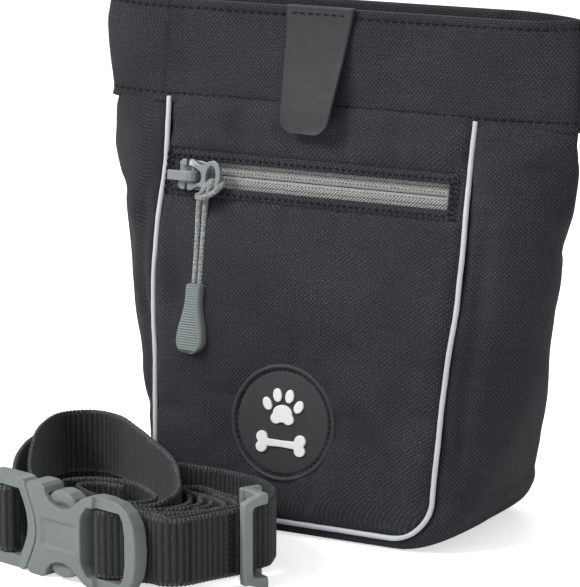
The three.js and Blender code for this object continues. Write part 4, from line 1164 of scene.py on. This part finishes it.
def through(points, per=24):
    """A centripetal Catmull-Rom curve through plan points, and each sample's place from point to point."""
    P = np.array(points, float)
    P = np.vstack([2 * P[0] - P[1], P, 2 * P[-1] - P[-2]])
    curve, places = [], []
    for k, (a, b, c, d) in enumerate(zip(P, P[1:], P[2:], P[3:])):
        step = [max(np.linalg.norm(q - p), 1e-6) ** 0.5 for p, q in ((a, b), (b, c), (c, d))]
        k0, k1, k2, k3 = np.cumsum([0, *step])
        t = np.linspace(k1, k2, per, endpoint=False)[:, None]
        ab = (k1 - t) / (k1 - k0) * a + (t - k0) / (k1 - k0) * b
        bc = (k2 - t) / (k2 - k1) * b + (t - k1) / (k2 - k1) * c
        cd = (k3 - t) / (k3 - k2) * c + (t - k2) / (k3 - k2) * d
        abc = (k2 - t) / (k2 - k0) * ab + (t - k0) / (k2 - k0) * bc
        bcd = (k3 - t) / (k3 - k1) * bc + (t - k1) / (k3 - k1) * cd
        curve.append((k2 - t) / (k2 - k1) * abc + (t - k1) / (k2 - k1) * bcd)
        places.append(k + (t[:, 0] - k1) / (k2 - k1))
    return np.vstack([*curve, P[-2:-1]]), np.append(np.concatenate(places), len(points) - 1)


def webbing(name, path, wide, half, body, stands_for, thick=STRAP_T):
    """Ribbed webbing along a path. `wide` is the direction across it, and `half` its half width."""
    path = resample(path, RIB / 5)
    run = np.concatenate([[0], np.cumsum(np.linalg.norm(np.diff(path, axis=0), axis=1))])
    tangent = np.gradient(path, axis=0)
    tangent /= np.linalg.norm(tangent, axis=1, keepdims=True)
    normal = np.cross(tangent, wide)
    normal /= np.linalg.norm(normal, axis=1, keepdims=True)
    across = np.sign(EDGE_ACROSS) * (half - (10 - 10 * np.abs(EDGE_ACROSS)) * (10 if half < 12 else 19) / 10)
    inset = half - np.abs(across)
    edge = np.sqrt(np.clip(1 - (1 - np.clip(inset / 0.75, 0, 1)) ** 2, 0.06, 1))
    rib = np.abs(np.sin(run * math.pi / RIB)) ** 0.55
    thin = 0.68 + 0.32 * rib
    knots = 1 + 0.32 * np.sin(run * 2 * math.pi / KNOT)[:, None] * (1 - smooth(inset, 0.2, 1.4))[None, :]
    shape = edge[None, :] * np.where(inset[None, :] < 1.3, 0.86 * knots, thin[:, None]) * thick / 2
    shift = 0.14 * np.sin(run * 2 * math.pi / KNOT + 1.3)[:, None] * (inset < 0.7)[None, :] * np.sign(across)[None, :]
    spread = (across[None, :] + shift)[..., None] * np.asarray(wide, float)
    front = path[:, None] + spread + normal[:, None] * shape[..., None]
    back = path[:, None] + spread - normal[:, None] * shape[..., None]
    P = np.concatenate([front, back[:, ::-1]], 1)
    cols = P.shape[1]
    faces = grid_faces(len(P), cols, wrap_cols=True).tolist()
    faces += [list(range(cols))[::-1], list(range((len(P) - 1) * cols, len(P) * cols))]
    weave = np.stack([np.repeat(run[:, None], cols, 1),
                      np.tile(np.concatenate([across, across[::-1]]) * STRAP_W / 2 / half, (len(P), 1))], -1)
    return piece(name, P.reshape(-1, 3), faces, WEBBING, body=body, weave=weave.reshape(-1, 2),
                 stands_for=stands_for)


SINK = 3.6              # away from the buckle the strap comes down to the floor
RAISE = 3.0             # the inner strap of the wide loop stands this much higher
WRAP = 1.3 + 0.35 + STRAP_T / 2


def female_wrap():
    angle = np.linspace(-1.35, -math.pi - 1.6, 6)
    bar = np.stack([30 + WRAP * np.cos(angle), WRAP * np.sin(angle)], 1)
    path = np.vstack([[(49, 4.0), (44, 4.1), (40.2, 3.8), (36.8, 1.3)], bar, [(36, 5.0), (42, 6.5), (49, 6.6)]])
    return on_buckle(np.insert(path, 2, 0, axis=1))[:, :2]


COIL_PATH = [
    (16, -71), (12.5, -63.5), (6, -55.5), (-4, -47.8), (-15, -43), (-29, -40.8), (-42, -39.2),
    (-52, -33), (-60, -24.5), (-69, -15.8), (-80, -11.5), (-88.5, -18), (-90, -34), (-84, -52), (-74, -70),
    (-65, -83), (-54, -91), (-40, -94.5), (-22, -97.3), (-8, -96.5), (-0.5, -90), (5.5, -81), (9, -74),
    (5, -68), (-6, -63.6), (-14, -60.9), (-18, -64), (-14, -67.1), (-7, -69), (0.5, -72.3), (3, -76.5),
    (-1, -83.5), (-9, -90.5), (-22, -93.4), (-38, -91.2), (-52, -87), (-63, -77.5), (-74, -60), (-82, -42),
    (-84.5, -27), (-77.5, -20), (-67.5, -21.5), (-54, -31.8), (-41, -43.4), (-26.5, -57), (-15.5, -71),
    (-11, -79.5), (-14, -86.8), (-25, -89.4), (-38, -87.4), (-50, -81), (-53, -74), (-46, -67.4),
    (-34, -66.6), (-25, -71.5), (-19, -78.5), (-21, -84.4), (-30, -85.6), (-42, -80.8), (-47, -76),
    (-42, -71.5), (-34, -71.4)]
UP = (0, 0, 1)


def make_belt():
    flap = [flap_point(25.5, 0), flap_point(12, 0), flap_point(0, 0)]
    rear = [flap_point(along, LAYERS) for along in (1, 12, 22, 31)]
    straight = [*flap, *female_wrap(), *rear]
    start = len(straight)
    plan, place = through([*straight, *COIL_PATH])
    raise_start = start + COIL_PATH.index((-52, -87))
    raise_end = start + COIL_PATH.index((-14, -86.8))
    sunk = -SINK * smooth(place, start, start + 5)
    rising = smooth(place, raise_start, raise_start + 3) * (1 - smooth(place, raise_end - 3, raise_end + 1))
    height = STRAP_Z + lerp(sunk, RAISE, rising)
    return webbing("belt_strap", np.column_stack([plan, height]), UP, STRAP_W / 2, "belt", ("belt_webbing",))


INNER_TURNS = [
    [(-12.2, -70.6), (-9.0, -75.2), (-7.9, -79.8), (-9.2, -84.4), (-12.0, -88.2), (-17, -90.6), (-23, -91.2)],
    [(-7.6, -72.2), (-4.9, -76.0), (-4.4, -79.8), (-5.8, -84.0), (-9.3, -87.9)],
    [(-3.2, -73.0), (-1.6, -76.2), (-1.7, -79.6), (-3.2, -82.6)],
    [(-6.5, -66.3), (1.8, -69.6), (6.0, -74.2), (3.6, -80.2), (-1.5, -87.0), (-8.5, -93.4), (-16, -94.5)]]


def make_inner_turns():
    """The tight turns of the roll between the strap's end and the wide loop."""
    for k, turn in enumerate(INNER_TURNS):
        plan, _ = through(turn)
        path = np.column_stack([plan, np.full(len(plan), STRAP_Z - SINK + 0.25 * (k % 2))])
        webbing(f"belt_inner_turn_{k + 1}", path, UP, STRAP_W / 2, "belt", ("belt_webbing",))


def make_male_strap():
    wrap = [(-7.7, 1.2), (-8, -1.5), (-10.5, -2.7), (-13, -1.7), (-14.9, 2.0), (-17, 4.2), (-21, 4.6), (-26, 6.4)]
    near = on_buckle([(x, y, 0) for x, y in wrap])[:, :2]
    plan, place = through([*near, (-84, -84.5), (-93, -71), (-95.5, -58)])
    height = STRAP_Z - SINK * smooth(place, len(wrap), len(wrap) + 3)
    return webbing("belt_male_strap", np.column_stack([plan, height]), UP, STRAP_W / 2, "male_half",
                   ("belt_male_end",))


def make_back_loop():
    profile = np.array([(30, 0.3), (35, 0.3), (40, 3.4), (48, 9.8), (54, 10.5), (72, 10.5), (78, 9.9), (86, 3.4),
                        (91, 0.3), (96, 0.3)], float)
    curve, _ = through(profile)
    path = np.stack([np.zeros(len(curve)), back_y(curve[:, 0]) + curve[:, 1] + 0.8, curve[:, 0]], 1)
    webbing("back_loop", path, (1, 0, 0), 19.0, "pouch", ("belt_loop",), thick=1.6)
    bodies = []
    for z in (32.0, 94.0):
        for level in (-0.9, 0.9):
            x = np.arange(-16.5, 16.5, 1.3)
            for k, x0 in enumerate(x):
                ends = [(x0, z + level - 0.7), (x0 + 1.1, z + level + 0.7)]
                a, b = (np.array([px, back_y(pz) + 2.0, pz]) for px, pz in ends)
                bodies.append(stitch(a, b, np.array([0, 1.0, 0]), 0.3))
    thread_piece("back_loop_tacks", bodies, body="pouch")


def make_flap_tacks():
    """Two zigzag columns of thread hold the strap's folded end down beside the slider."""
    facing = np.array([math.sin(FLAP_TURN), -math.cos(FLAP_TURN), 0])
    bodies = []
    for along in (2.4, 17.0):
        for k, z in enumerate(np.arange(5.2, 22.8, 0.8)):
            reach = 1.2 if k % 2 else -1.2
            ends = [np.append(flap_point(along + r, -0.85), h) for r, h in ((-reach, z), (reach, z + 0.8))]
            bodies.append(stitch(*ends, facing, 0.28))
    thread_piece("flap_tacks", bodies, body="belt")


# ---------------------------------------------------------------- zip
ZIP_TILT = math.atan((float(front_y(ZIP_Z + 4)) - float(front_y(ZIP_Z - 4))) / 8)
SLIDER_X, SLIDER_DROP = -38.6, -0.7


def on_front(P, x, z, tilt, proud):
    """From a frame lying on the front panel at (x, z) to the pouch's frame."""
    P = np.asarray(P, float)
    c, s = math.cos(-tilt), math.sin(-tilt)
    y, up = P[..., 1] * c - P[..., 2] * s, P[..., 1] * s + P[..., 2] * c
    return np.stack([P[..., 0] + x, y + float(front_y(z)) - proud, up + z], -1)


def on_zip(P):
    return on_front(P, 0, ZIP_Z, ZIP_TILT, 0)


def on_slider(P):
    return on_zip(np.asarray(P, float) + np.array([SLIDER_X, 0, SLIDER_DROP]))


def make_tape(side, name):
    x = np.arange(-50, 50.01, 0.3)
    z = np.concatenate([[0.1, 0.18, 0.3, 0.5, 0.75], np.arange(1.0, 8.01, 0.28)])
    X, Z = np.meshgrid(x, z, indexing="ij")
    ridge = 0.65 * bump_at(Z, 1.5, 1.2) + 0.1 * bump_at(Z, 3.4, 0.5)
    chevron = 0.16 * np.abs(np.sin(math.pi * (X + TAPE_SLANT * Z) / TAPE_THREAD))
    dip = 0.5 * (1 - smooth(Z, 0.1, 0.7))
    sag = 0.25 * np.sin(X / 9 + side) * smooth(Z, 2.5, 4)
    Y = 1.9 - ridge - chevron + dip + 0.15 * sag
    P = on_zip(np.stack([X, Y, side * Z], -1))
    faces = grid_faces(*P.shape[:2])
    normals = grid_normals(P)
    normals *= np.sign(-normals[..., 1:2])
    if side < 0:
        faces = faces[:, ::-1]
    points, faces = thicken(P.reshape(-1, 3), faces, normals.reshape(-1, 3), 0.35)
    weave = np.tile(np.stack([X, Z], -1).reshape(-1, 2), (2, 1))
    return piece(f"zip_tape_{name}_cloth", points, faces, TAPE, body="front_lip", weave=weave,
                 stands_for=(f"zip_tape_{name}",))


def make_slider():
    face = [(-6, 3.0), (-5.2, 4.2), (-3, 4.6), (1.5, 4.5), (4.4, 3.9), (5.9, 2.6)]
    bodies = [prism(mirrored(face), -1.9, -0.4), prism(mirrored(face), 4.5, 5.2), slab(-5.6, -3.6, -0.6, 4.8, -0.6, 0.6)]
    bodies += [slab(-5.4, 5.0, -0.6, 0.6, 3.7, 4.5), slab(-5.4, 5.0, -0.6, 0.6, -4.5, -3.7)]
    bodies += [slab(-1.2, 1.4, -3.6, -1.6, -1.25, 1.25)]
    for side in (-1, 1):
        shoulder = [(-4.7, 2.6), (-4.7, 3.8), (-3.7, 4.6), (-2.3, 4.7), (-2.3, 2.6)]
        bodies.append(prism([(x, side * z) for x, z in shoulder], -4.4, -1.6))
    tongue = [(1.5, -2.4), (1.7, -5.4), (0.9, -6.5), (-0.8, -6.9), (-7.6, -6.4), (-7.9, -5.5), (-7.6, -5.0),
              (-1.4, -5.5), (-0.2, -5.2), (0.2, -4.6), (0.2, -2.4)]
    bodies.append(prism(tongue, -2.1, 0.9, 2))
    points, faces = moulded([], [], bodies, 0.15, 6)
    return piece("zip_slider_casting", on_slider(points), faces, ENAMEL, body="zip_slider",
                 stands_for=("zip_slider_body",))


PULL_PIN = (-0.2, -3.3)     # the pin the pull plate turns on


def make_pull_plate():
    outer = [(-1.5, 2.7), (-1.5, 4.4), (-0.9, 4.8), (0.0, 4.7), (1.2, 4.0), (2.8, 3.2), (4.2, 3.4), (5.6, 4.4),
             (7.4, 4.9), (9.0, 4.1), (9.9, 2.2), (10.1, -0.6), (9.7, -3.0), (8.6, -4.8), (7.0, -5.4), (5.4, -4.6),
             (4.0, -3.7), (2.6, -3.4), (1.0, -4.1), (0.0, -4.7), (-0.9, -4.8), (-1.5, -4.4), (-1.5, -2.8)]
    notch = [(-1.0, -2.6), (0.6, -2.6), (2.6, -2.35), (3.4, -1.6), (3.5, -0.6), (3.3, 0.5), (2.6, 1.2), (1.0, 2.1),
             (-1.0, 2.6)]
    hole = [(5.2, -1.6), (5.0, 0.2), (5.5, 2.3), (6.8, 3.3), (7.9, 2.6), (8.5, 0.6), (8.4, -1.6), (7.6, -3.5),
            (6.6, -3.9), (5.7, -3.0)]
    plate = prism([*outer, *notch], -4.7, -3.0)
    points, faces = moulded([plate], [prism(hole, -8, 0)], [rod((*PULL_PIN, -2.8), (*PULL_PIN, 2.8), 0.6)], 0.14, 7)
    points[:, 1] += 0.5 * smooth(np.abs(points[:, 2]), 2.2, 4.8) * smooth(-points[:, 0], -3, 1)
    points[:, 1] -= 0.35 * smooth(points[:, 0], 2, 5)
    return piece("zip_pull_fork", on_slider(points), faces, ENAMEL, body="zip_pull",
                 stands_for=("zip_pull_plate",))


GRIP_X, GRIP_TOP, GRIP_FOOT = -35.2, 73.5, 51.9


def grip_y(z):
    up = (np.asarray(z, float) - GRIP_FOOT) / (GRIP_TOP - GRIP_FOOT)
    return lerp(float(front_y(GRIP_FOOT)) - 3.4, float(front_y(GRIP_TOP)) - 2.6, up)


def braid(run, angle):
    plait = np.sin(run * 2 * math.pi / 1.15 + 2 * angle) + np.sin(run * 2 * math.pi / 1.15 - 2 * angle)
    return 0.06 * plait


def make_cord():
    top = 74.6
    def hang(x, z, stand=0.0):
        return [x, float(grip_y(min(z, 84))) * (1 if z < 84 else 0) + (float(front_y(z)) - 2.6 if z >= 84 else 0) - stand, z]
    left = [hang(-35.7, top - 3), hang(-35.6, 80), hang(-35.7, 88), hang(-35.8, 95, 0.6)]
    right = [hang(-33.8, top - 3), hang(-33.7, 80), hang(-33.7, 88), hang(-33.6, 95, 0.6)]
    rise_left = on_slider([(3.4, -4.0, -6.6), (4.9, -5.2, -4.6), (6.1, -4.8, -2.6), (6.5, -2.9, -1.2), (6.0, -1.9, -3.4)])
    rise_right = on_slider([(5.6, -4.2, -6.6), (6.9, -5.4, -5.0), (7.3, -5.2, -3.0), (7.2, -3.2, -1.4), (7.0, -1.9, -3.6)])
    wrap = on_slider([(2.3, -3.6, -6.1), (3.5, -5.4, -6.8), (5.6, -6.3, -6.6), (8.0, -6.3, -5.6), (9.9, -5.7, -4.0),
                      (10.7, -4.2, -2.2), (9.8, -2.7, -2.0), (7.4, -2.5, -3.4), (5.0, -2.6, -5.0), (3.0, -2.8, -5.9)])
    bodies = []
    for points in (np.vstack([left, rise_left]), np.vstack([right, rise_right])):
        bodies.append(tube(rounded_path(points, 0.24), 0.86, 12, relief=braid))
    loop = rounded_path(np.vstack([wrap, wrap[:2]]), 0.24)
    bodies.append(tube(loop, 0.84, 12, relief=braid))
    points, faces = merge(bodies)
    return piece("pull_cord_braid", points, faces, CORD, body="cord_pull", stands_for=("pull_cord",))


def make_grip():
    rows, sides = 150, 64
    angle = np.linspace(0, 2 * math.pi, sides, endpoint=False)
    P = []
    for t in np.linspace(0, 1, rows):
        z = lerp(GRIP_TOP, GRIP_FOOT, t)
        end = math.sqrt(max(0.02, 1 - max(0, (t - 0.8) / 0.2) ** 2)) * math.sqrt(min(1, 0.35 + t / 0.02))
        half = lerp(2.7, 4.7, float(smooth(t, 0.22, 0.78))) * end
        deep = lerp(2.3, 2.4, t) * min(1, end * 1.25)
        c, s = np.cos(angle), np.sin(angle)
        dx = half * np.sign(c) * np.abs(c) ** 0.5
        dy = deep * np.sign(s) * np.abs(s) ** 0.45
        on_face = smooth(-dy, deep * 0.75, deep * 0.97)
        inside = 1 - smooth(dx, half - 1.5, half - 1.0)
        ribs = 0.34 * abs(math.sin(math.pi * t * (GRIP_TOP - GRIP_FOOT) / 0.78)) * (1 - smooth(t, 0.93, 0.98))
        dy = dy + on_face * inside * (0.6 - ribs)
        P.append(np.stack([GRIP_X + 0.5 - 0.8 * t + dx, float(grip_y(z)) - 0.6 + dy, np.full(sides, z)], 1))
    P = np.array(P)
    faces = grid_faces(rows, sides, wrap_cols=True).tolist()
    faces += [list(range(sides))[::-1], list(range((rows - 1) * sides, rows * sides))]
    return piece("cord_grip_moulding", P.reshape(-1, 3), faces, GRIP, body="cord_pull",
                 stands_for=("cord_grip",))


# ---------------------------------------------------------------- badge and tab
BADGE_TILT = math.atan((float(front_y(BADGE[1] + 12)) - float(front_y(BADGE[1] - 12))) / 24)


def on_badge(P):
    return on_front(P, BADGE[0], BADGE[1], BADGE_TILT, 0.45)


def make_badge():
    profile = rounded_path([(BADGE_R, -0.4, 0), (BADGE_R + 0.05, 0.7, 0), (BADGE_R - 0.35, 1.5, 0), (17.1, 1.75, 0),
                            (16.55, 1.45, 0), (16.35, 0.9, 0), (16.0, 0.72, 0), (15.65, 0.9, 0), (15.4, 1.2, 0),
                            (14.6, 1.28, 0), (8, 1.3, 0), (0.3, 1.3, 0)], 0.2)
    angle = np.linspace(0, 2 * math.pi, 120, endpoint=False)
    r, h = profile[:, 0][:, None], profile[:, 1][:, None]
    P = np.stack([r * np.cos(angle), -h + 0 * angle, r * np.sin(angle)], -1)
    back = np.stack([P[0, :, 0], P[0, :, 1] * 0 + 0.4, P[0, :, 2]], -1)
    faces = grid_faces(*P.shape[:2], wrap_cols=True).tolist()
    faces += [list(range(120)), list(range((len(P) - 1) * 120, len(P) * 120))[::-1]]
    P[0] = back
    piece("badge_disc", on_badge(P.reshape(-1, 3)), faces, BADGE_SOFT, body="pouch",
          stands_for=("badge_base",))
    bodies = []
    count = 56
    for k in range(count):
        a0 = 2 * math.pi * k / count
        a1 = a0 + 2 * math.pi / count * 0.66
        ends = on_badge([(16.0 * math.cos(a), -0.8, 16.0 * math.sin(a)) for a in (a0, a1)])
        bodies.append(stitch(ends[0], ends[1], np.array([0, -1.0, 0]), 0.3))
    thread_piece("badge_stitches", bodies, body="pouch")

    low, high = -2.0, -1.15
    pads = [oval(0, 2.9, 3.3, 2.6), oval(-2.1, 1.3, 1.9, 1.7), oval(2.1, 1.3, 1.9, 1.7), oval(0, 1.2, 1.6, 1.1)]
    toes = [oval(-5.4, 5.4, 1.45, 2.1, 0.5), oval(-2.1, 8.3, 1.45, 2.1, 0.15), oval(2.1, 8.3, 1.45, 2.1, -0.15),
            oval(5.4, 5.4, 1.45, 2.1, -0.5)]
    paw = moulded([], [], [prism(shape, low, high) for shape in (*pads, *toes)], 0.16, 4)
    piece("badge_paw_relief", on_badge(paw[0]), paw[1], EMBLEM_SOFT, body="pouch",
          stands_for=("badge_paw",))
    knobs = [oval(sx * 6.6, -6.3 + sz * 1.5, 1.9, 1.8) for sx in (-1, 1) for sz in (-1, 1)]
    shaft = [(-6.5, -7.5), (0, -7.3), (6.5, -7.5), (6.5, -5.1), (0, -5.3), (-6.5, -5.1)]
    bone = moulded([], [], [prism(shape, low, high) for shape in (*knobs, shaft)], 0.16, 4)
    piece("badge_bone_relief", on_badge(bone[0]), bone[1], EMBLEM_SOFT, body="pouch",
          stands_for=("badge_bone",))


TAB_TOP, TAB_FOOT, TAB_T = 158.6, 121.4, 1.7


def make_leather_tab():
    sides = 44
    angle = np.linspace(0, 2 * math.pi, sides, endpoint=False)
    c, s = np.cos(angle), np.sin(angle)
    P, edge = [], []
    heights = np.concatenate([np.linspace(TAB_TOP, TAB_FOOT + 4.2, 60)[:-1],
                              TAB_FOOT + 4.2 * (1 - np.sin(np.linspace(0, math.pi / 2, 14)))])
    for z in heights:
        t = (TAB_TOP - z) / (TAB_TOP - TAB_FOOT)
        half = lerp(11.4, 8.1, t)
        foot = max(0.0, (TAB_FOOT + 4.2 - z) / 4.2)
        half += -4.2 + 4.2 * math.sqrt(max(0.0, 1 - foot ** 2)) if foot > 0 else 0
        x = 0.1 - 1.0 * t
        base = float(front_y(min(z, 158))) - 1.0 - 0.45 - 2.6 * float(smooth(t, 0.1, 1))
        dx = half * np.sign(c) * np.abs(c) ** 0.12
        across = dx / max(half, 0.1)
        curl = -0.6 * t * (across + 1) - 0.7 * t * across ** 2 + 0.5 * float(bump_at(t, 0.55, 0.2)) * (1 - across ** 2)
        dy = -TAB_T / 2 + TAB_T / 2 * np.sign(s) * np.abs(s) ** 0.35
        P.append(np.stack([x + dx, base + dy + curl, np.full(sides, z)], 1))
        edge.append(np.where((np.abs(c) > 0.9) & (np.abs(s) < 0.45), 1.0, 0.0))
    P = np.array(P)
    faces = grid_faces(*P.shape[:2], wrap_cols=True).tolist()
    faces += [list(range(sides))[::-1], list(range((len(P) - 1) * sides, len(P) * sides))]
    weave = np.stack([P[..., 2], np.array(edge)], -1).reshape(-1, 2)
    piece("leather_pull_tab", P.reshape(-1, 3), faces, LEATHER, body="pull_tab", weave=weave,
          stands_for=("leather_tab",))
    z = 156.4
    x = np.linspace(-9.4, 9.4, 30)
    y = float(front_y(z)) - 1.0 - 0.45 - TAB_T - 0.05
    row = np.stack([x, np.full(30, y), np.full(30, z)], 1)
    bodies = stitch_row(row, np.tile([0, -1.0, 0], (30, 1)), 2.6, 0.78, 0.28)
    thread_piece("tab_stitches", bodies, body="pull_tab")


# ---------------------------------------------------------------- topstitching
def collar_rows():
    """Topstitching round the collar, above its lower hem and below its top edge."""
    for name, rise, out in (("collar_hem_stitches", 2.6, 0.05), ("collar_top_stitches", 27.6, 0.05)):
        ring, share = collar_ring(COLLAR_Z + rise, -out, -out)
        height = COLLAR_Z + rise * (collar_top(share) - COLLAR_Z) / 30 - HEM_DROP * (1 - smooth(rise, 0, 14))
        path = np.column_stack([ring, height])
        path = np.vstack([path, path[:1]])
        run = np.gradient(path, axis=0)
        outward = np.stack([run[:, 1], -run[:, 0], 0 * run[:, 0]], 1)
        outward /= np.maximum(np.linalg.norm(outward, axis=1, keepdims=True), 1e-6)
        bodies = stitch_row(path, outward, 2.7, 0.76, 0.3)
        front = np.column_stack([ring, np.zeros(len(ring))])

        def share_of(points, ring=ring, share=share):
            gap = ((points[:, None, :2] - ring[None]) ** 2).sum(-1)
            return share[gap.argmin(1)]
        thread_piece(name, bodies, share_of=share_of)


def on_panel(x, z):
    return np.stack([x, front_y(z) + window_relief(x, z) - 1.12, z], 1)


def box_path(half, high):
    corners = np.array([(-half, -high), (half, -high), (half, high), (-half, high), (-half, -high)], float)
    path = resample(np.insert(corners, 2, 0, axis=1), 0.5)[:, :2]
    return on_panel(path[:, 0], ZIP_Z + path[:, 1])


def zip_box_stitches():
    bodies = []
    for half, high in ((49.6, 7.0), (47.6, 5.3)):
        path = box_path(half, high)
        bodies += stitch_row(path, np.tile([0, -1.0, 0], (len(path), 1)), 2.2, 0.72, 0.4)
    for x in (48.2, 48.9, -48.6):
        z = np.linspace(ZIP_Z - 6.6, ZIP_Z + 6.6, 30)
        path = on_panel(np.full(30, x), z)
        bodies += stitch_row(path, np.tile([0, -1.0, 0], (30, 1)), 1.5, 0.7, 0.4)
    thread_piece("zip_box_stitches", bodies, body="front_lip")


# ---------------------------------------------------------------- carried-over parts, stage and camera
KEPT_FINISHES = {
    "collar_front_stiffener": STIFF, "collar_back_stiffener": STIFF, "pocket_bag": LINING,
    "magnet_front_left": STEEL, "magnet_front_right": STEEL, "magnet_back_left": STEEL, "magnet_back_right": STEEL,
    "zip_coil_upper": COIL, "zip_coil_lower": COIL, "zip_stop_left": ENAMEL, "zip_stop_right": ENAMEL,
}


def finish_kept_nodes():
    leftover = {"buckle": PLASTIC, "tri_glide": PLASTIC, "belt": WEBBING, "zip_tape": TAPE, "zip": ENAMEL,
                "pull_cord": CORD, "cord_grip": GRIP, "badge_base": BADGE_SOFT, "badge": EMBLEM_SOFT,
                "leather": LEATHER, "piping": PIPING, "collar": COLLAR, "treat": LINING}
    for name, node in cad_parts.items():
        finish = KEPT_FINISHES.get(name)
        if finish is None:
            finish = next((m for key, m in leftover.items() if name.startswith(key)), SHELL)
        node.data.materials.clear()
        node.data.materials.append(finish)


def area_light(name, at, towards, size, power):
    light = bpy.data.lights.new(name, "AREA")
    light.shape = "DISK"
    light.size = size
    light.energy = power
    lamp = bpy.data.objects.new(name, light)
    scene.collection.objects.link(lamp)
    lamp.location = at
    lamp.rotation_euler = (Vector(towards) - Vector(at)).to_track_quat("-Z", "Y").to_euler()
    return lamp


def make_stage():
    mesh = bpy.data.meshes.new("floor")
    far = 6.0
    mesh.from_pydata([(-far, -far, 0), (far, -far, 0), (far, far, 0), (-far, far, 0)], [], [(0, 1, 2, 3)])
    floor = bpy.data.objects.new("floor", mesh)
    scene.collection.objects.link(floor)
    pale = Finish("pale_floor", 0.9, specular=0.1)
    pale.set("Base Color", (0.93, 0.93, 0.93, 1))
    pale.set("Emission Color", (1, 1, 1, 1))
    seen = pale.node("ShaderNodeLightPath").outputs["Is Camera Ray"]
    pale.set("Emission Strength", pale.math("MULTIPLY", seen, 0.62))
    mesh.materials.append(pale.material)

    world = bpy.data.worlds.new("studio")
    scene.world = world
    world.use_nodes = True
    tree = world.node_tree
    sky = tree.nodes["Background"]
    towards = tree.nodes.new("ShaderNodeVectorMath")
    towards.operation = "DOT_PRODUCT"
    tree.links.new(tree.nodes.new("ShaderNodeTexCoord").outputs["Generated"], towards.inputs[0])
    towards.inputs[1].default_value = (-0.62, -0.42, 0.66)
    ease = tree.nodes.new("ShaderNodeMapRange")
    ease.inputs[1].default_value, ease.inputs[2].default_value = -1.0, 1.0
    ease.inputs[3].default_value, ease.inputs[4].default_value = 0.05, 0.82
    tree.links.new(towards.outputs["Value"], ease.inputs[0])
    tree.links.new(ease.outputs[0], sky.inputs[1])
    sky.inputs[0].default_value = (1, 1, 1, 1)
    area_light("key", (-0.55, -0.75, 0.95), (0, -0.02, 0.06), 0.55, 11)
    area_light("fill", (0.95, -0.6, 0.45), (0, 0, 0.07), 0.8, 0.8)
    area_light("rim", (-0.3, 0.9, 0.8), (0, 0, 0.1), 0.6, 3)


def make_camera():
    lens = bpy.data.cameras.new("view")
    lens.sensor_width = 36
    lens.lens = 202.6
    lens.clip_start = 0.05
    camera = bpy.data.objects.new("view", lens)
    scene.collection.objects.link(camera)
    camera.location = (0.4698, -0.8751, 0.2784)
    target = Vector((-0.01195, -0.00987, 0.06939))
    camera.rotation_euler = (target - camera.location).to_track_quat("-Z", "Y").to_euler()
    scene.camera = camera


finish_kept_nodes()
make_front()
make_gusset()
make_back()
make_collar()
make_liner()
make_piping()
make_female()
make_male()
make_prong(1, "upper")
make_prong(-1, "lower")
make_glide()
make_belt()
make_inner_turns()
make_male_strap()
make_back_loop()
make_flap_tacks()
make_tape(1, "upper")
make_tape(-1, "lower")
make_slider()
make_pull_plate()
make_cord()
make_grip()
make_badge()
make_leather_tab()
collar_rows()
zip_box_stitches()
make_stage()
make_camera()
scene.view_settings.view_transform = "Standard"

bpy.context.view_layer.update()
